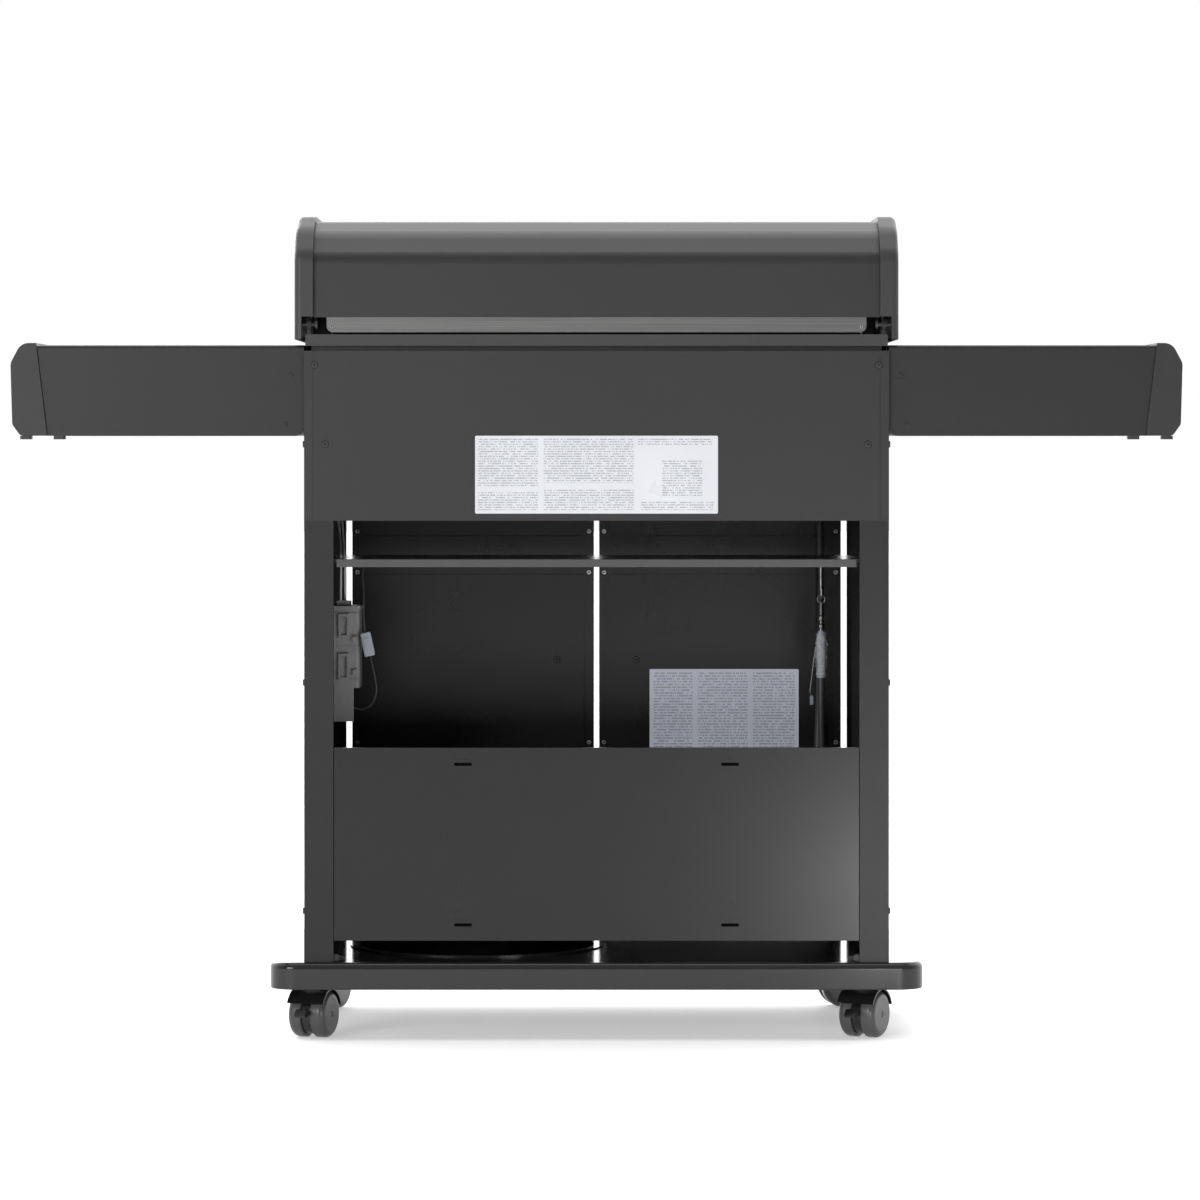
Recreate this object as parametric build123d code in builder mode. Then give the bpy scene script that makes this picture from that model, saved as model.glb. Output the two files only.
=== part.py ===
from build123d import *
import os
from math import cos, radians, sin, tan

os.makedirs("parts", exist_ok=True)

# Gas barbecue grill on casters. Millimetres, +Z up, the cook stands on the -Y side and faces +Y,
# so +X is the cook's right. The origin is under the middle of the grill, on the ground.

# sheet and fit
SHEET = 1.5
THIN = 0.3
RUNNING = 0.05

# base shelf
BASE_X = 458.5
BASE_FRONT = -215
BASE_REAR = 305
BASE_BOTTOM = 71
BASE_TOP = 109
BASE_WALL = 4
BASE_CORNER = 38
BASE_EDGE = 9
WELL_X = 173
WELL_Y = 45
WELL_R = 175

# cabinet frame
SIDE_X = 409.5
FRAME_FRONT = -187
FRAME_REAR = 293
SIDE_TOP = 965
REAR_FLANGE = 41
FRONT_FLANGE = 36.5
LIP = 12
UPPER_PANEL_BOTTOM = 727
LOWER_PANEL_X = 367.5
LOWER_PANEL_BOTTOM = 139
LOWER_PANEL_TOP = 409
SHIELD_TOP = 673
SHIELD_FRONT = 16
RAIL_BOTTOM = 792
RAIL_TOP = 800

# doors, set in between the front flanges
DOOR_INNER = 3.75
DOOR_OUTER = 364
DOOR_BOTTOM = 112
DOOR_TOP = 790
DOOR_THICK = 18
DOOR_PIVOT_X = 358
DOOR_PIVOT_Y = -181
PIN_R = 3

# firebox
BOX_X = 400
BOX_FRONT = -174
BOX_REAR = 279
BOX_TOP = 972
BOX_SHOULDER = 850
BOX_BOTTOM = 770
RIM_X = 408
RIM_FRONT = -215
RIM_REAR = 291
RIM_TOP = 988
BURNER_X = (-270, -90, 90, 270)
BURNER_Z = 864

# lid
LID_SKIN_X = 396.7
LID_CAP_IN = 397
LID_CAP_OUT = 423
HINGE_Y = 288
HINGE_Z = 1002

# control panel
KNOB_Y = -253.7
KNOB_Z = 880
FACE_TILT = 7.3

# side shelves
SHELF_IN = 409.8
SHELF_OUT = 821
SHELF_FRONT = -180
SHELF_REAR = 288
SHELF_BOTTOM = 846
SHELF_TOP = 973

# casters
CASTER_X = 389
CASTER_REAR_Y = 229
CASTER_FRONT_Y = -150
WHEEL_R = 33
TRAIL = 26
AXLE_R = 4

# gas hose
HOSE_R = 5
HOOK_X = -326
HOOK_Y = 30


def arc_radii(points, share=0.45):
    """One radius for each inner corner of a route, as large as its two runs allow."""
    radii = []
    for before, corner, after in zip(points, points[1:], points[2:]):
        run_in = Vector(*corner) - Vector(*before)
        run_out = Vector(*after) - Vector(*corner)
        turn = radians(run_in.get_angle(run_out))
        radii.append(share * min(run_in.length, run_out.length) / tan(turn / 2))
    return radii


def across(x):
    """A sketch plane that looks along X: its first axis is +Y and its second is +Z."""
    return Plane(origin=(x, 0, 0), x_dir=(0, 1, 0), z_dir=(1, 0, 0))


def facing_rear(y):
    """A sketch plane on the rear side: its first axis is -X, its second is +Z, and it faces +Y."""
    return Plane(origin=(0, y, 0), x_dir=(-1, 0, 0), z_dir=(0, 1, 0))


# ------------------------------------------------------------------ base

BASE_MID_Y = (BASE_FRONT + BASE_REAR) / 2
BASE_DEPTH = BASE_REAR - BASE_FRONT

with BuildPart() as base_shelf:
    with BuildSketch(Plane.XY.offset(BASE_BOTTOM)):
        with Locations((0, BASE_MID_Y)):
            RectangleRounded(2 * BASE_X, BASE_DEPTH, BASE_CORNER)
    extrude(amount=BASE_TOP - BASE_BOTTOM)
    fillet(base_shelf.faces().sort_by(Axis.Z)[-1].edges(), BASE_EDGE)
    fillet(base_shelf.faces().sort_by(Axis.Z)[0].edges(), 2)
    with BuildSketch(Plane.XY.offset(BASE_BOTTOM)):
        with Locations((0, BASE_MID_Y)):
            RectangleRounded(
                2 * (BASE_X - BASE_WALL), BASE_DEPTH - 2 * BASE_WALL, BASE_CORNER - BASE_WALL
            )
    extrude(amount=BASE_TOP - BASE_BOTTOM - BASE_WALL, mode=Mode.SUBTRACT)
    with BuildSketch(Plane.XY.offset(BASE_TOP)):
        with Locations((WELL_X, WELL_Y)):
            Circle(WELL_R)
    extrude(amount=-BASE_WALL, mode=Mode.SUBTRACT)
base_shelf.part.label = "base_shelf"

with BuildPart() as cylinder_well:
    with BuildSketch(Plane(origin=(WELL_X, WELL_Y, 0), x_dir=(1, 0, 0), z_dir=(0, -1, 0))):
        Polygon(
            (0, 80),
            (WELL_R - 0.3, 80),
            (WELL_R - 0.3, BASE_TOP),
            (WELL_R + 8, BASE_TOP),
            (WELL_R + 8, BASE_TOP + 2),
            (WELL_R - 6, BASE_TOP + 2),
            (WELL_R - 3, BASE_TOP - 4),
            (WELL_R - 3, 83),
            (0, 83),
            align=None,
        )
    revolve(axis=Axis((WELL_X, WELL_Y, 0), (0, 0, 1)))
cylinder_well.part.label = "cylinder_well"

# ------------------------------------------------------------------ cabinet frame

with BuildPart() as right_side_panel:
    with BuildSketch(Plane.XY.offset(BASE_TOP)):
        with Locations((SIDE_X - SHEET / 2, (FRAME_FRONT + FRAME_REAR) / 2)):
            Rectangle(SHEET, FRAME_REAR - FRAME_FRONT)
        with Locations((SIDE_X - REAR_FLANGE / 2, FRAME_REAR - SHEET / 2)):
            Rectangle(REAR_FLANGE, SHEET)
        with Locations((SIDE_X - REAR_FLANGE + SHEET / 2, FRAME_REAR - LIP / 2)):
            Rectangle(SHEET, LIP)
        with Locations((SIDE_X - FRONT_FLANGE / 2, FRAME_FRONT + SHEET / 2)):
            Rectangle(FRONT_FLANGE, SHEET)
        with Locations((SIDE_X - FRONT_FLANGE + SHEET / 2, FRAME_FRONT + LIP / 2)):
            Rectangle(SHEET, LIP)
    extrude(amount=SIDE_TOP - BASE_TOP)
    # the web reaches up to the firebox rim
    with BuildSketch(Plane.XY.offset(SIDE_TOP)):
        with Locations((SIDE_X - SHEET / 2 - 1.5, 52)):
            Rectangle(SHEET, 440)
    extrude(amount=BOX_TOP - SIDE_TOP)
    with BuildSketch(Plane.XY.offset(SIDE_TOP - SHEET)):
        with Locations((SIDE_X - SHEET, 52)):
            Rectangle(2 * SHEET, 440)
    extrude(amount=SHEET)
    # foot flange on the base
    with BuildSketch(Plane.XY.offset(BASE_TOP)):
        with Locations((SIDE_X - 12, 52)):
            Rectangle(24, 440)
    extrude(amount=SHEET)
right_side_panel.part.label = "right_side_panel"

with BuildPart() as left_side_panel:
    mirror(right_side_panel.part, about=Plane.YZ)
left_side_panel.part.label = "left_side_panel"

with BuildPart() as rear_upper_panel:
    with BuildSketch(Plane.XY.offset(UPPER_PANEL_BOTTOM)):
        with Locations((0, FRAME_REAR + SHEET / 2)):
            Rectangle(2 * SIDE_X, SHEET)
    extrude(amount=SIDE_TOP - UPPER_PANEL_BOTTOM)
    # hems along the lower and upper edges
    for z in (UPPER_PANEL_BOTTOM, SIDE_TOP - SHEET):
        with BuildSketch(Plane.XY.offset(z)):
            with Locations((0, FRAME_REAR - 4)):
                Rectangle(2 * 367, 8)
        extrude(amount=SHEET)
    # shallow fold line beside each end
    with BuildSketch(facing_rear(FRAME_REAR + SHEET)):
        with Locations((-397, 846), (397, 846)):
            Rectangle(1.2, 260)
    extrude(amount=-0.5, mode=Mode.SUBTRACT)
    fillet(rear_upper_panel.edges().filter_by(Axis.Y).group_by(Axis.Z)[0], 0.6)
rear_upper_panel.part.label = "rear_upper_panel"

with BuildPart() as rear_lower_panel:
    with BuildSketch(Plane.XY.offset(LOWER_PANEL_BOTTOM)):
        with Locations((0, FRAME_REAR - LIP / 2)):
            Rectangle(2 * LOWER_PANEL_X, LIP)
    extrude(amount=LOWER_PANEL_TOP - LOWER_PANEL_BOTTOM)
    with BuildSketch(Plane.XY.offset(LOWER_PANEL_BOTTOM + SHEET)):
        with Locations((0, FRAME_REAR - LIP / 2 - SHEET)):
            Rectangle(2 * (LOWER_PANEL_X - SHEET), LIP)
    extrude(amount=LOWER_PANEL_TOP - LOWER_PANEL_BOTTOM - 2 * SHEET, mode=Mode.SUBTRACT)
    # four hanging slots, each under a small embossed tab
    with BuildSketch(facing_rear(FRAME_REAR)):
        with Locations((-187, 386), (187, 386), (-187, 161), (187, 161)):
            SlotOverall(25, 4.5)
    extrude(amount=-4, mode=Mode.SUBTRACT)
    with BuildSketch(facing_rear(FRAME_REAR)):
        with Locations((-187, 391), (187, 391), (-187, 166), (187, 166)):
            Rectangle(22, 3)
    extrude(amount=0.8)
rear_lower_panel.part.label = "rear_lower_panel"

with BuildPart() as heat_shield:
    with BuildSketch(Plane.XY.offset(SHIELD_TOP)):
        with Locations((0, (SHIELD_FRONT + 279) / 2)):
            Rectangle(2 * 407.7, 279 - SHIELD_FRONT)
        with Locations((0, 285)):
            Rectangle(2 * 364, 12)
        with Locations((361, 172)):
            SlotOverall(36, 18, rotation=90, mode=Mode.SUBTRACT)
    extrude(amount=-SHEET)
    with BuildSketch(Plane.XY.offset(SHIELD_TOP)):
        with Locations((0, 291 - SHEET / 2)):
            Rectangle(2 * 364, SHEET)
        with Locations((0, SHIELD_FRONT + SHEET / 2)):
            Rectangle(2 * 407.7, SHEET)
    extrude(amount=-11)
    with BuildSketch(Plane.XY.offset(SHIELD_TOP)):
        with Locations((-407.7 + SHEET / 2, 147.5), (407.7 - SHEET / 2, 147.5)):
            Rectangle(SHEET, 263)
    extrude(amount=-20)
    fillet(heat_shield.edges().filter_by(Axis.X).group_by(Axis.Z)[-1].sort_by(Axis.Y)[-1], 1.2)
heat_shield.part.label = "heat_shield"

with BuildPart() as front_rail:
    with BuildSketch(Plane.XY.offset(RAIL_BOTTOM)):
        with Locations((0, FRAME_FRONT + SHEET / 2)):
            Rectangle(2 * 372.7, SHEET)
    extrude(amount=RAIL_TOP - RAIL_BOTTOM)
    with BuildSketch(Plane.XY.offset(RAIL_BOTTOM)):
        with Locations((0, FRAME_FRONT + 11)):
            Rectangle(2 * 372.7, 22)
        with Locations((-DOOR_PIVOT_X, DOOR_PIVOT_Y), (DOOR_PIVOT_X, DOOR_PIVOT_Y)):
            Circle(PIN_R + RUNNING, mode=Mode.SUBTRACT)
    extrude(amount=SHEET)
front_rail.part.label = "front_rail"

with BuildPart() as door_brackets:
    with BuildSketch(Plane.XY.offset(BASE_TOP)):
        with Locations((-DOOR_PIVOT_X, DOOR_PIVOT_Y + 6), (DOOR_PIVOT_X, DOOR_PIVOT_Y + 6)):
            RectangleRounded(26, 34, 4)
        with Locations((-DOOR_PIVOT_X, DOOR_PIVOT_Y), (DOOR_PIVOT_X, DOOR_PIVOT_Y)):
            Circle(PIN_R + RUNNING, mode=Mode.SUBTRACT)
    extrude(amount=2.5)
door_brackets.part.label = "door_brackets"

with BuildPart() as control_panel:
    with BuildSketch(across(0)):
        Polygon(
            (-187, 800), (-240, 800), (-262, 815), (-246, 940), (-226, 962), (-187, 962), align=None
        )
    extrude(amount=SIDE_X, both=True)
    fillet(control_panel.edges().filter_by(Axis.X).sort_by(Axis.Y)[:2], 6)
    with BuildSketch(across(0)):
        Polygon(
            (-186, 801.5), (-239.5, 801.5), (-260.3, 815.8), (-244.6, 939.3), (-225.3, 960.5), (-186, 960.5),
            align=None,
        )
    extrude(amount=SIDE_X - SHEET, both=True, mode=Mode.SUBTRACT)
    for x in BURNER_X:
        with BuildSketch(
            Plane(
                origin=(x, KNOB_Y, KNOB_Z),
                x_dir=(1, 0, 0),
                z_dir=(0, -cos(radians(FACE_TILT)), sin(radians(FACE_TILT))),
            )
        ):
            Circle(9)
        extrude(amount=8, both=True, mode=Mode.SUBTRACT)
    with BuildSketch(
        Plane(
            origin=(360, KNOB_Y, KNOB_Z),
            x_dir=(1, 0, 0),
            z_dir=(0, -cos(radians(FACE_TILT)), sin(radians(FACE_TILT))),
        )
    ):
        Circle(10)
    extrude(amount=8, both=True, mode=Mode.SUBTRACT)
control_panel.part.label = "control_panel"

with BuildPart() as rating_plate:
    with BuildSketch(facing_rear(FRAME_REAR + SHEET)):
        with Locations((0, 791.5)):
            RectangleRounded(340, 109, 2)
    extrude(amount=THIN)
rating_plate.part.label = "rating_plate"

# screw heads of the cabinet, one separate solid each
REAR_SCREWS = ((-380, 834), (380, 834), (-395, 945), (395, 945))
SHELF_SCREWS = ((-428, 931), (-436, 862), (428, 931), (436, 862))
with BuildPart() as cabinet_screws:
    with BuildSketch(facing_rear(FRAME_REAR + SHEET)):
        with Locations(*REAR_SCREWS):
            Circle(5)
    extrude(amount=2.4, taper=18)
    with BuildSketch(facing_rear(SHELF_REAR)):
        with Locations(*SHELF_SCREWS):
            Circle(3.2)
    extrude(amount=1.6, taper=18)
    for side in (-1, 1):
        with BuildSketch(Plane(origin=(side * SIDE_X, 0, 0), x_dir=(0, 1, 0), z_dir=(side, 0, 0))):
            with Locations((282, side * 834), (282, side * 500), (282, side * 180), (-176, side * 500)):
                Circle(5)
        extrude(amount=2.4, taper=18)
cabinet_screws.part.label = "cabinet_screws"

# ------------------------------------------------------------------ firebox and burners

BOX_MID_Y = (BOX_FRONT + BOX_REAR) / 2
BOX_DEPTH = BOX_REAR - BOX_FRONT
WALL = 3

with BuildPart() as firebox:
    with BuildSketch(Plane.XY.offset(BOX_SHOULDER)):
        with Locations((0, BOX_MID_Y)):
            Rectangle(2 * BOX_X, BOX_DEPTH)
    extrude(amount=BOX_TOP - BOX_SHOULDER)
    with BuildSketch(Plane.XY.offset(BOX_SHOULDER)):
        with Locations((0, BOX_MID_Y)):
            Rectangle(2 * BOX_X, BOX_DEPTH)
    with BuildSketch(Plane.XY.offset(BOX_BOTTOM)):
        with Locations((0, BOX_MID_Y)):
            Rectangle(600, 200)
    loft()
    with BuildSketch(Plane.XY.offset(BOX_TOP)):
        with Locations((0, (RIM_FRONT + RIM_REAR) / 2)):
            Rectangle(2 * RIM_X, RIM_REAR - RIM_FRONT)
    extrude(amount=RIM_TOP - BOX_TOP)
    with BuildSketch(Plane.XY.offset(RIM_TOP)):
        with Locations((0, BOX_MID_Y)):
            Rectangle(2 * (BOX_X - WALL), BOX_DEPTH - 2 * WALL)
    extrude(amount=-(RIM_TOP - BOX_SHOULDER), mode=Mode.SUBTRACT)
    with BuildSketch(Plane.XY.offset(BOX_SHOULDER)):
        with Locations((0, BOX_MID_Y)):
            Rectangle(2 * (BOX_X - WALL), BOX_DEPTH - 2 * WALL)
    with BuildSketch(Plane.XY.offset(BOX_BOTTOM + WALL)):
        with Locations((0, BOX_MID_Y)):
            Rectangle(594, 194)
    loft(mode=Mode.SUBTRACT)
    # drip opening
    with BuildSketch(Plane.XY.offset(BOX_BOTTOM)):
        with Locations((0, BOX_MID_Y)):
            Rectangle(220, 110)
    extrude(amount=WALL, mode=Mode.SUBTRACT)
    # ledges for the flame tamers and for the cooking grids
    for z in (893, 944):
        with BuildSketch(Plane.XY.offset(z)):
            with Locations((0, BOX_FRONT + WALL + 5), (0, BOX_REAR - WALL - 5)):
                Rectangle(2 * (BOX_X - WALL), 10)
        extrude(amount=3)
    # burner holes in the front wall
    with BuildSketch(Plane(origin=(0, BOX_FRONT, BURNER_Z), x_dir=(1, 0, 0), z_dir=(0, -1, 0))):
        with Locations(*[(x, 0) for x in BURNER_X]):
            Circle(12.6)
    extrude(amount=-WALL, mode=Mode.SUBTRACT)
    # hanging rails of the grease tray
    for side in (-1, 1):
        with BuildSketch(Plane.XY.offset(BOX_BOTTOM)):
            with Locations((side * 153.5, 50)):
                Rectangle(3, 190)
        extrude(amount=-45)
        with BuildSketch(Plane.XY.offset(BOX_BOTTOM - 45)):
            with Locations((side * 149, 50)):
                Rectangle(12, 190)
        extrude(amount=2)
firebox.part.label = "firebox"

with BuildPart() as burners:
    for x in BURNER_X:
        with BuildSketch(Plane(origin=(x, -186, BURNER_Z), x_dir=(1, 0, 0), z_dir=(0, 1, 0))):
            Circle(12.4)
        extrude(amount=440)
        with BuildSketch(Plane(origin=(x, -186, BURNER_Z), x_dir=(1, 0, 0), z_dir=(0, 1, 0))):
            Circle(11)
        extrude(amount=432, mode=Mode.SUBTRACT)
        with BuildSketch(Plane(origin=(x, 253, BURNER_Z), x_dir=(1, 0, 0), z_dir=(0, 1, 0))):
            Rectangle(10, 10)
        extrude(amount=BOX_REAR - WALL - 253)
burners.part.label = "burners"

with BuildPart() as flame_tamers:
    for x in BURNER_X:
        with BuildSketch(Plane(origin=(x, BOX_REAR - WALL - 1, 0), x_dir=(1, 0, 0), z_dir=(0, -1, 0))):
            with BuildLine():
                Polyline((-36, 896.8), (0, 922), (36, 896.8))
            trace(line_width=1.5)
        extrude(amount=BOX_DEPTH - 2 * WALL - 2)
flame_tamers.part.label = "flame_tamers"

GRID_DEPTH = BOX_DEPTH - 2 * WALL - 4
with BuildPart() as cooking_grids:
    for x in (-264, 0, 264):
        with Locations((x, BOX_MID_Y, 954)):
            with GridLocations(18.4, 0, 14, 1):
                Box(8, GRID_DEPTH, 10)
            with GridLocations(0, GRID_DEPTH / 2 - 3, 1, 3):
                Box(247, 6, 8)
cooking_grids.part.label = "cooking_grids"

RACK_Z = 1052
with BuildPart() as warming_rack:
    for y in (140, 262):
        with BuildSketch(Plane.YZ.offset(-406)):
            with Locations((y, RACK_Z)):
                Circle(3)
        extrude(amount=812)
        with BuildSketch(Plane.XY.offset(RIM_TOP)):
            with Locations((-402, y), (402, y)):
                Circle(2.5)
        extrude(amount=RACK_Z - RIM_TOP)
    with BuildSketch(Plane.XZ.offset(-263.5)):
        with Locations((0, RACK_Z + 1.2)):
            with GridLocations(40, 0, 19, 1):
                Circle(2)
    extrude(amount=125)
warming_rack.part.label = "warming_rack"

MANIFOLD_ROUTE = (
    (305, -208, 874), (-331, -208, 874), (-331, -208, 812), (-331, -145, 812), (-331, -145, 770),
)
with BuildPart() as gas_manifold:
    with BuildLine():
        FilletPolyline(*MANIFOLD_ROUTE, radius=18)
    with BuildSketch(Plane(origin=MANIFOLD_ROUTE[0], x_dir=(0, 1, 0), z_dir=(-1, 0, 0))):
        Circle(8)
    sweep()
    # inlet nut for the hose
    with BuildSketch(Plane.XY.offset(772)):
        with Locations((-331, -145)):
            RegularPolygon(12, 6)
    extrude(amount=-22)
    # brackets under the control panel's top
    with Locations((-200, -208, 880), (200, -208, 880)):
        Box(14, 3, 80.4, align=(Align.CENTER, Align.CENTER, Align.MIN))
gas_manifold.part.label = "gas_manifold"

VALVE_DIR = (0, -cos(radians(FACE_TILT)), sin(radians(FACE_TILT)))
with BuildPart() as burner_valves:
    for x in BURNER_X:
        with BuildSketch(Plane(origin=(x, -216.4, 875.2), x_dir=(1, 0, 0), z_dir=VALVE_DIR)):
            Rectangle(24, 24)
        extrude(amount=18)
        with BuildSketch(Plane(origin=(x, -216.4, 875.2), x_dir=(1, 0, 0), z_dir=VALVE_DIR)):
            Circle(4)
        extrude(amount=52)
        # orifice spout towards the burner
        with BuildSketch(Plane(origin=(x, -219, BURNER_Z), x_dir=(1, 0, 0), z_dir=(0, 1, 0))):
            Circle(4)
        extrude(amount=39)
burner_valves.part.label = "burner_valves"

with BuildPart() as hinge_lugs:
    for side in (-1, 1):
        with BuildSketch(across(side * 402.5)):
            with Locations((HINGE_Y, HINGE_Z)):
                Circle(9)
            with Locations((HINGE_Y - 3, RIM_TOP + 6)):
                Rectangle(12, 12)
            with Locations((HINGE_Y, HINGE_Z)):
                Circle(PIN_R + RUNNING, mode=Mode.SUBTRACT)
        extrude(amount=3, both=True)
hinge_lugs.part.label = "hinge_lugs"

# ------------------------------------------------------------------ lid

LID_PATH = (
    (292.2, 1012), (292.2, 1096), (262, 1130), (215, 1148.2), (-60, 1148.2), (-165, 1105), (-225, 992)
)
with BuildPart() as lid_skin:
    with BuildSketch(across(0)):
        with BuildLine():
            FilletPolyline(*LID_PATH, radius=(25, 40, 40, 90, 90))
        trace(line_width=SHEET)
    extrude(amount=LID_SKIN_X, both=True)
lid_skin.part.label = "lid_skin"

CAP_PATH = (
    (300, 981), (300, 1100), (268, 1137), (218, 1156), (-62, 1156), (-171, 1111), (-240, 981)
)
POCKET_PATH = (
    (291.9, 970), (291.9, 1095.8), (261, 1128.5), (214.5, 1146.8), (-59.5, 1146.8), (-163.8, 1103.8),
    (-235, 970),
)
with BuildPart() as lid_right_end:
    with BuildSketch(across(LID_CAP_IN)):
        with BuildLine():
            cap_edge = FilletPolyline(*CAP_PATH, radius=(30, 45, 45, 95, 95))
            Line(cap_edge @ 1, cap_edge @ 0)
        make_face()
    extrude(amount=LID_CAP_OUT - LID_CAP_IN)
    fillet(
        lid_right_end.faces().sort_by(Axis.X)[-1].edges().filter_by(lambda edge: edge.center().Z > 984), 9
    )
    with BuildSketch(across(LID_CAP_IN)):
        with BuildLine():
            pocket_edge = FilletPolyline(*POCKET_PATH, radius=(24, 38, 38, 88, 88))
            Line(pocket_edge @ 1, pocket_edge @ 0)
        make_face()
    extrude(amount=22, mode=Mode.SUBTRACT)
    # the rim behind the hinge and over the firebox band is cut away
    with Locations((LID_CAP_IN - 1, 280, 975)):
        Box(17, 30, 38, align=(Align.MIN, Align.MIN, Align.MIN), mode=Mode.SUBTRACT)
    with Locations((LID_CAP_IN - 1, -245, 975)):
        Box(17, 35, 16, align=(Align.MIN, Align.MIN, Align.MIN), mode=Mode.SUBTRACT)
    # hinge pin with its washer, fixed in the end wall
    with BuildSketch(across(391)):
        with Locations((HINGE_Y, HINGE_Z)):
            Circle(PIN_R)
    extrude(amount=LID_CAP_OUT - 391 - 2)
    with BuildSketch(across(391)):
        with Locations((HINGE_Y, HINGE_Z)):
            Circle(6)
    extrude(amount=3)
lid_right_end.part.label = "lid_right_end"

with BuildPart() as lid_left_end:
    mirror(lid_right_end.part, about=Plane.YZ)
lid_left_end.part.label = "lid_left_end"

with BuildPart() as rear_baffle:
    with BuildSketch(facing_rear(290.2)):
        with Locations((0, 1018)):
            Rectangle(2 * 378, 54)
    extrude(amount=1.2)
    fillet(rear_baffle.edges().filter_by(Axis.Y).group_by(Axis.Z)[0], 9)
rear_baffle.part.label = "rear_baffle"

HANDLE_Y = -293
HANDLE_Z = 1034
with BuildPart() as lid_handle:
    with BuildSketch(across(0)):
        with Locations((HANDLE_Y, HANDLE_Z)):
            Circle(12)
    extrude(amount=318, both=True)
    fillet(lid_handle.edges().filter_by(GeomType.CIRCLE), 3)
    for side in (-1, 1):
        with BuildSketch(across(side * 296)):
            Polygon(
                (-206.1, 1030), (-198.4, 1044.5), (-240, 1048), (HANDLE_Y, HANDLE_Z + 6),
                (HANDLE_Y, HANDLE_Z - 6), (-240, 1026),
                align=None,
            )
        extrude(amount=9, both=True)
lid_handle.part.label = "lid_handle"

LID_SLOPE = Vector(0, -113, 60).normalized()
with BuildPart() as lid_thermometer:
    with BuildSketch(Plane(origin=(0, -189.6, 1060.4), x_dir=(1, 0, 0), z_dir=LID_SLOPE)):
        Circle(33)
    extrude(amount=9, taper=6)
    with BuildSketch(Plane(origin=(0, -189.6, 1060.4) + LID_SLOPE * 9, x_dir=(1, 0, 0), z_dir=LID_SLOPE)):
        Circle(28)
    extrude(amount=-2.5, mode=Mode.SUBTRACT)
lid_thermometer.part.label = "lid_thermometer"

# ------------------------------------------------------------------ doors

with BuildPart() as right_door:
    with BuildSketch(Plane.XY.offset(DOOR_BOTTOM)):
        with Locations(((DOOR_INNER + DOOR_OUTER) / 2, FRAME_FRONT + DOOR_THICK / 2)):
            Rectangle(DOOR_OUTER - DOOR_INNER, DOOR_THICK)
    extrude(amount=DOOR_TOP - DOOR_BOTTOM)
    fillet(right_door.edges().filter_by(Axis.Z).group_by(Axis.Y)[0], 3)
    # sealed inside between the outer pan and the liner
    with BuildSketch(Plane.XY.offset(DOOR_BOTTOM + SHEET)):
        with Locations(((DOOR_INNER + DOOR_OUTER) / 2, FRAME_FRONT + DOOR_THICK / 2)):
            Rectangle(DOOR_OUTER - DOOR_INNER - 2 * SHEET, DOOR_THICK - 2 * SHEET)
    extrude(amount=DOOR_TOP - DOOR_BOTTOM - 2 * SHEET, mode=Mode.SUBTRACT)
    # raised lower liner panel and upper stiffener of the inside face
    with BuildSketch(facing_rear(FRAME_FRONT + DOOR_THICK)):
        with Locations((-184, 384)):
            RectangleRounded(332, 512, 6)
        with Locations((-184, 673)):
            RectangleRounded(332, 48, 4)
    extrude(amount=3)
    # pivot pins
    with BuildSketch(Plane.XY.offset(BASE_TOP + 0.4)):
        with Locations((DOOR_PIVOT_X, DOOR_PIVOT_Y)):
            Circle(PIN_R)
    extrude(amount=DOOR_BOTTOM - BASE_TOP)
    with BuildSketch(Plane.XY.offset(DOOR_TOP - 1)):
        with Locations((DOOR_PIVOT_X, DOOR_PIVOT_Y)):
            Circle(PIN_R)
    extrude(amount=7)
right_door.part.label = "right_door"

with BuildPart() as left_door:
    mirror(right_door.part, about=Plane.YZ)
left_door.part.label = "left_door"

with BuildPart() as right_door_handle:
    with BuildSketch(Plane.XY.offset(497)):
        with Locations((59, -219)):
            Circle(8)
    extrude(amount=180)
    fillet(right_door_handle.edges().filter_by(GeomType.CIRCLE), 2.5)
    with BuildSketch(Plane(origin=(59, FRAME_FRONT, 0), x_dir=(1, 0, 0), z_dir=(0, -1, 0))):
        with Locations((0, 513), (0, 661)):
            Circle(5.5)
    extrude(amount=30)
right_door_handle.part.label = "right_door_handle"

with BuildPart() as left_door_handle:
    mirror(right_door_handle.part, about=Plane.YZ)
left_door_handle.part.label = "left_door_handle"

with BuildPart() as safety_card:
    with BuildSketch(facing_rear(FRAME_FRONT + DOOR_THICK + 3)):
        with Locations((190, 424)):
            RectangleRounded(222, 150, 2)
    extrude(amount=0.4)
safety_card.part.label = "safety_card"

# ------------------------------------------------------------------ knobs

knobs = []
for x in BURNER_X:
    face = Plane(origin=(x, KNOB_Y, KNOB_Z), x_dir=(1, 0, 0), z_dir=VALVE_DIR)
    with BuildPart() as knob:
        with BuildSketch(face.offset(4.5)):
            Circle(25)
        extrude(amount=7)
        with BuildSketch(face.offset(11.5)):
            Circle(20)
        extrude(amount=20, taper=5)
        # grip: two flats leave a bar across the top
        with BuildSketch(face.offset(17)):
            Circle(24)
            Rectangle(13, 50, mode=Mode.SUBTRACT)
        extrude(amount=20, mode=Mode.SUBTRACT)
        with BuildSketch(face.offset(4)):
            Circle(4 + RUNNING)
        extrude(amount=16, mode=Mode.SUBTRACT)
    knob.part.label = f"knob_{len(knobs) + 1}"
    knobs.append(knob)

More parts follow.
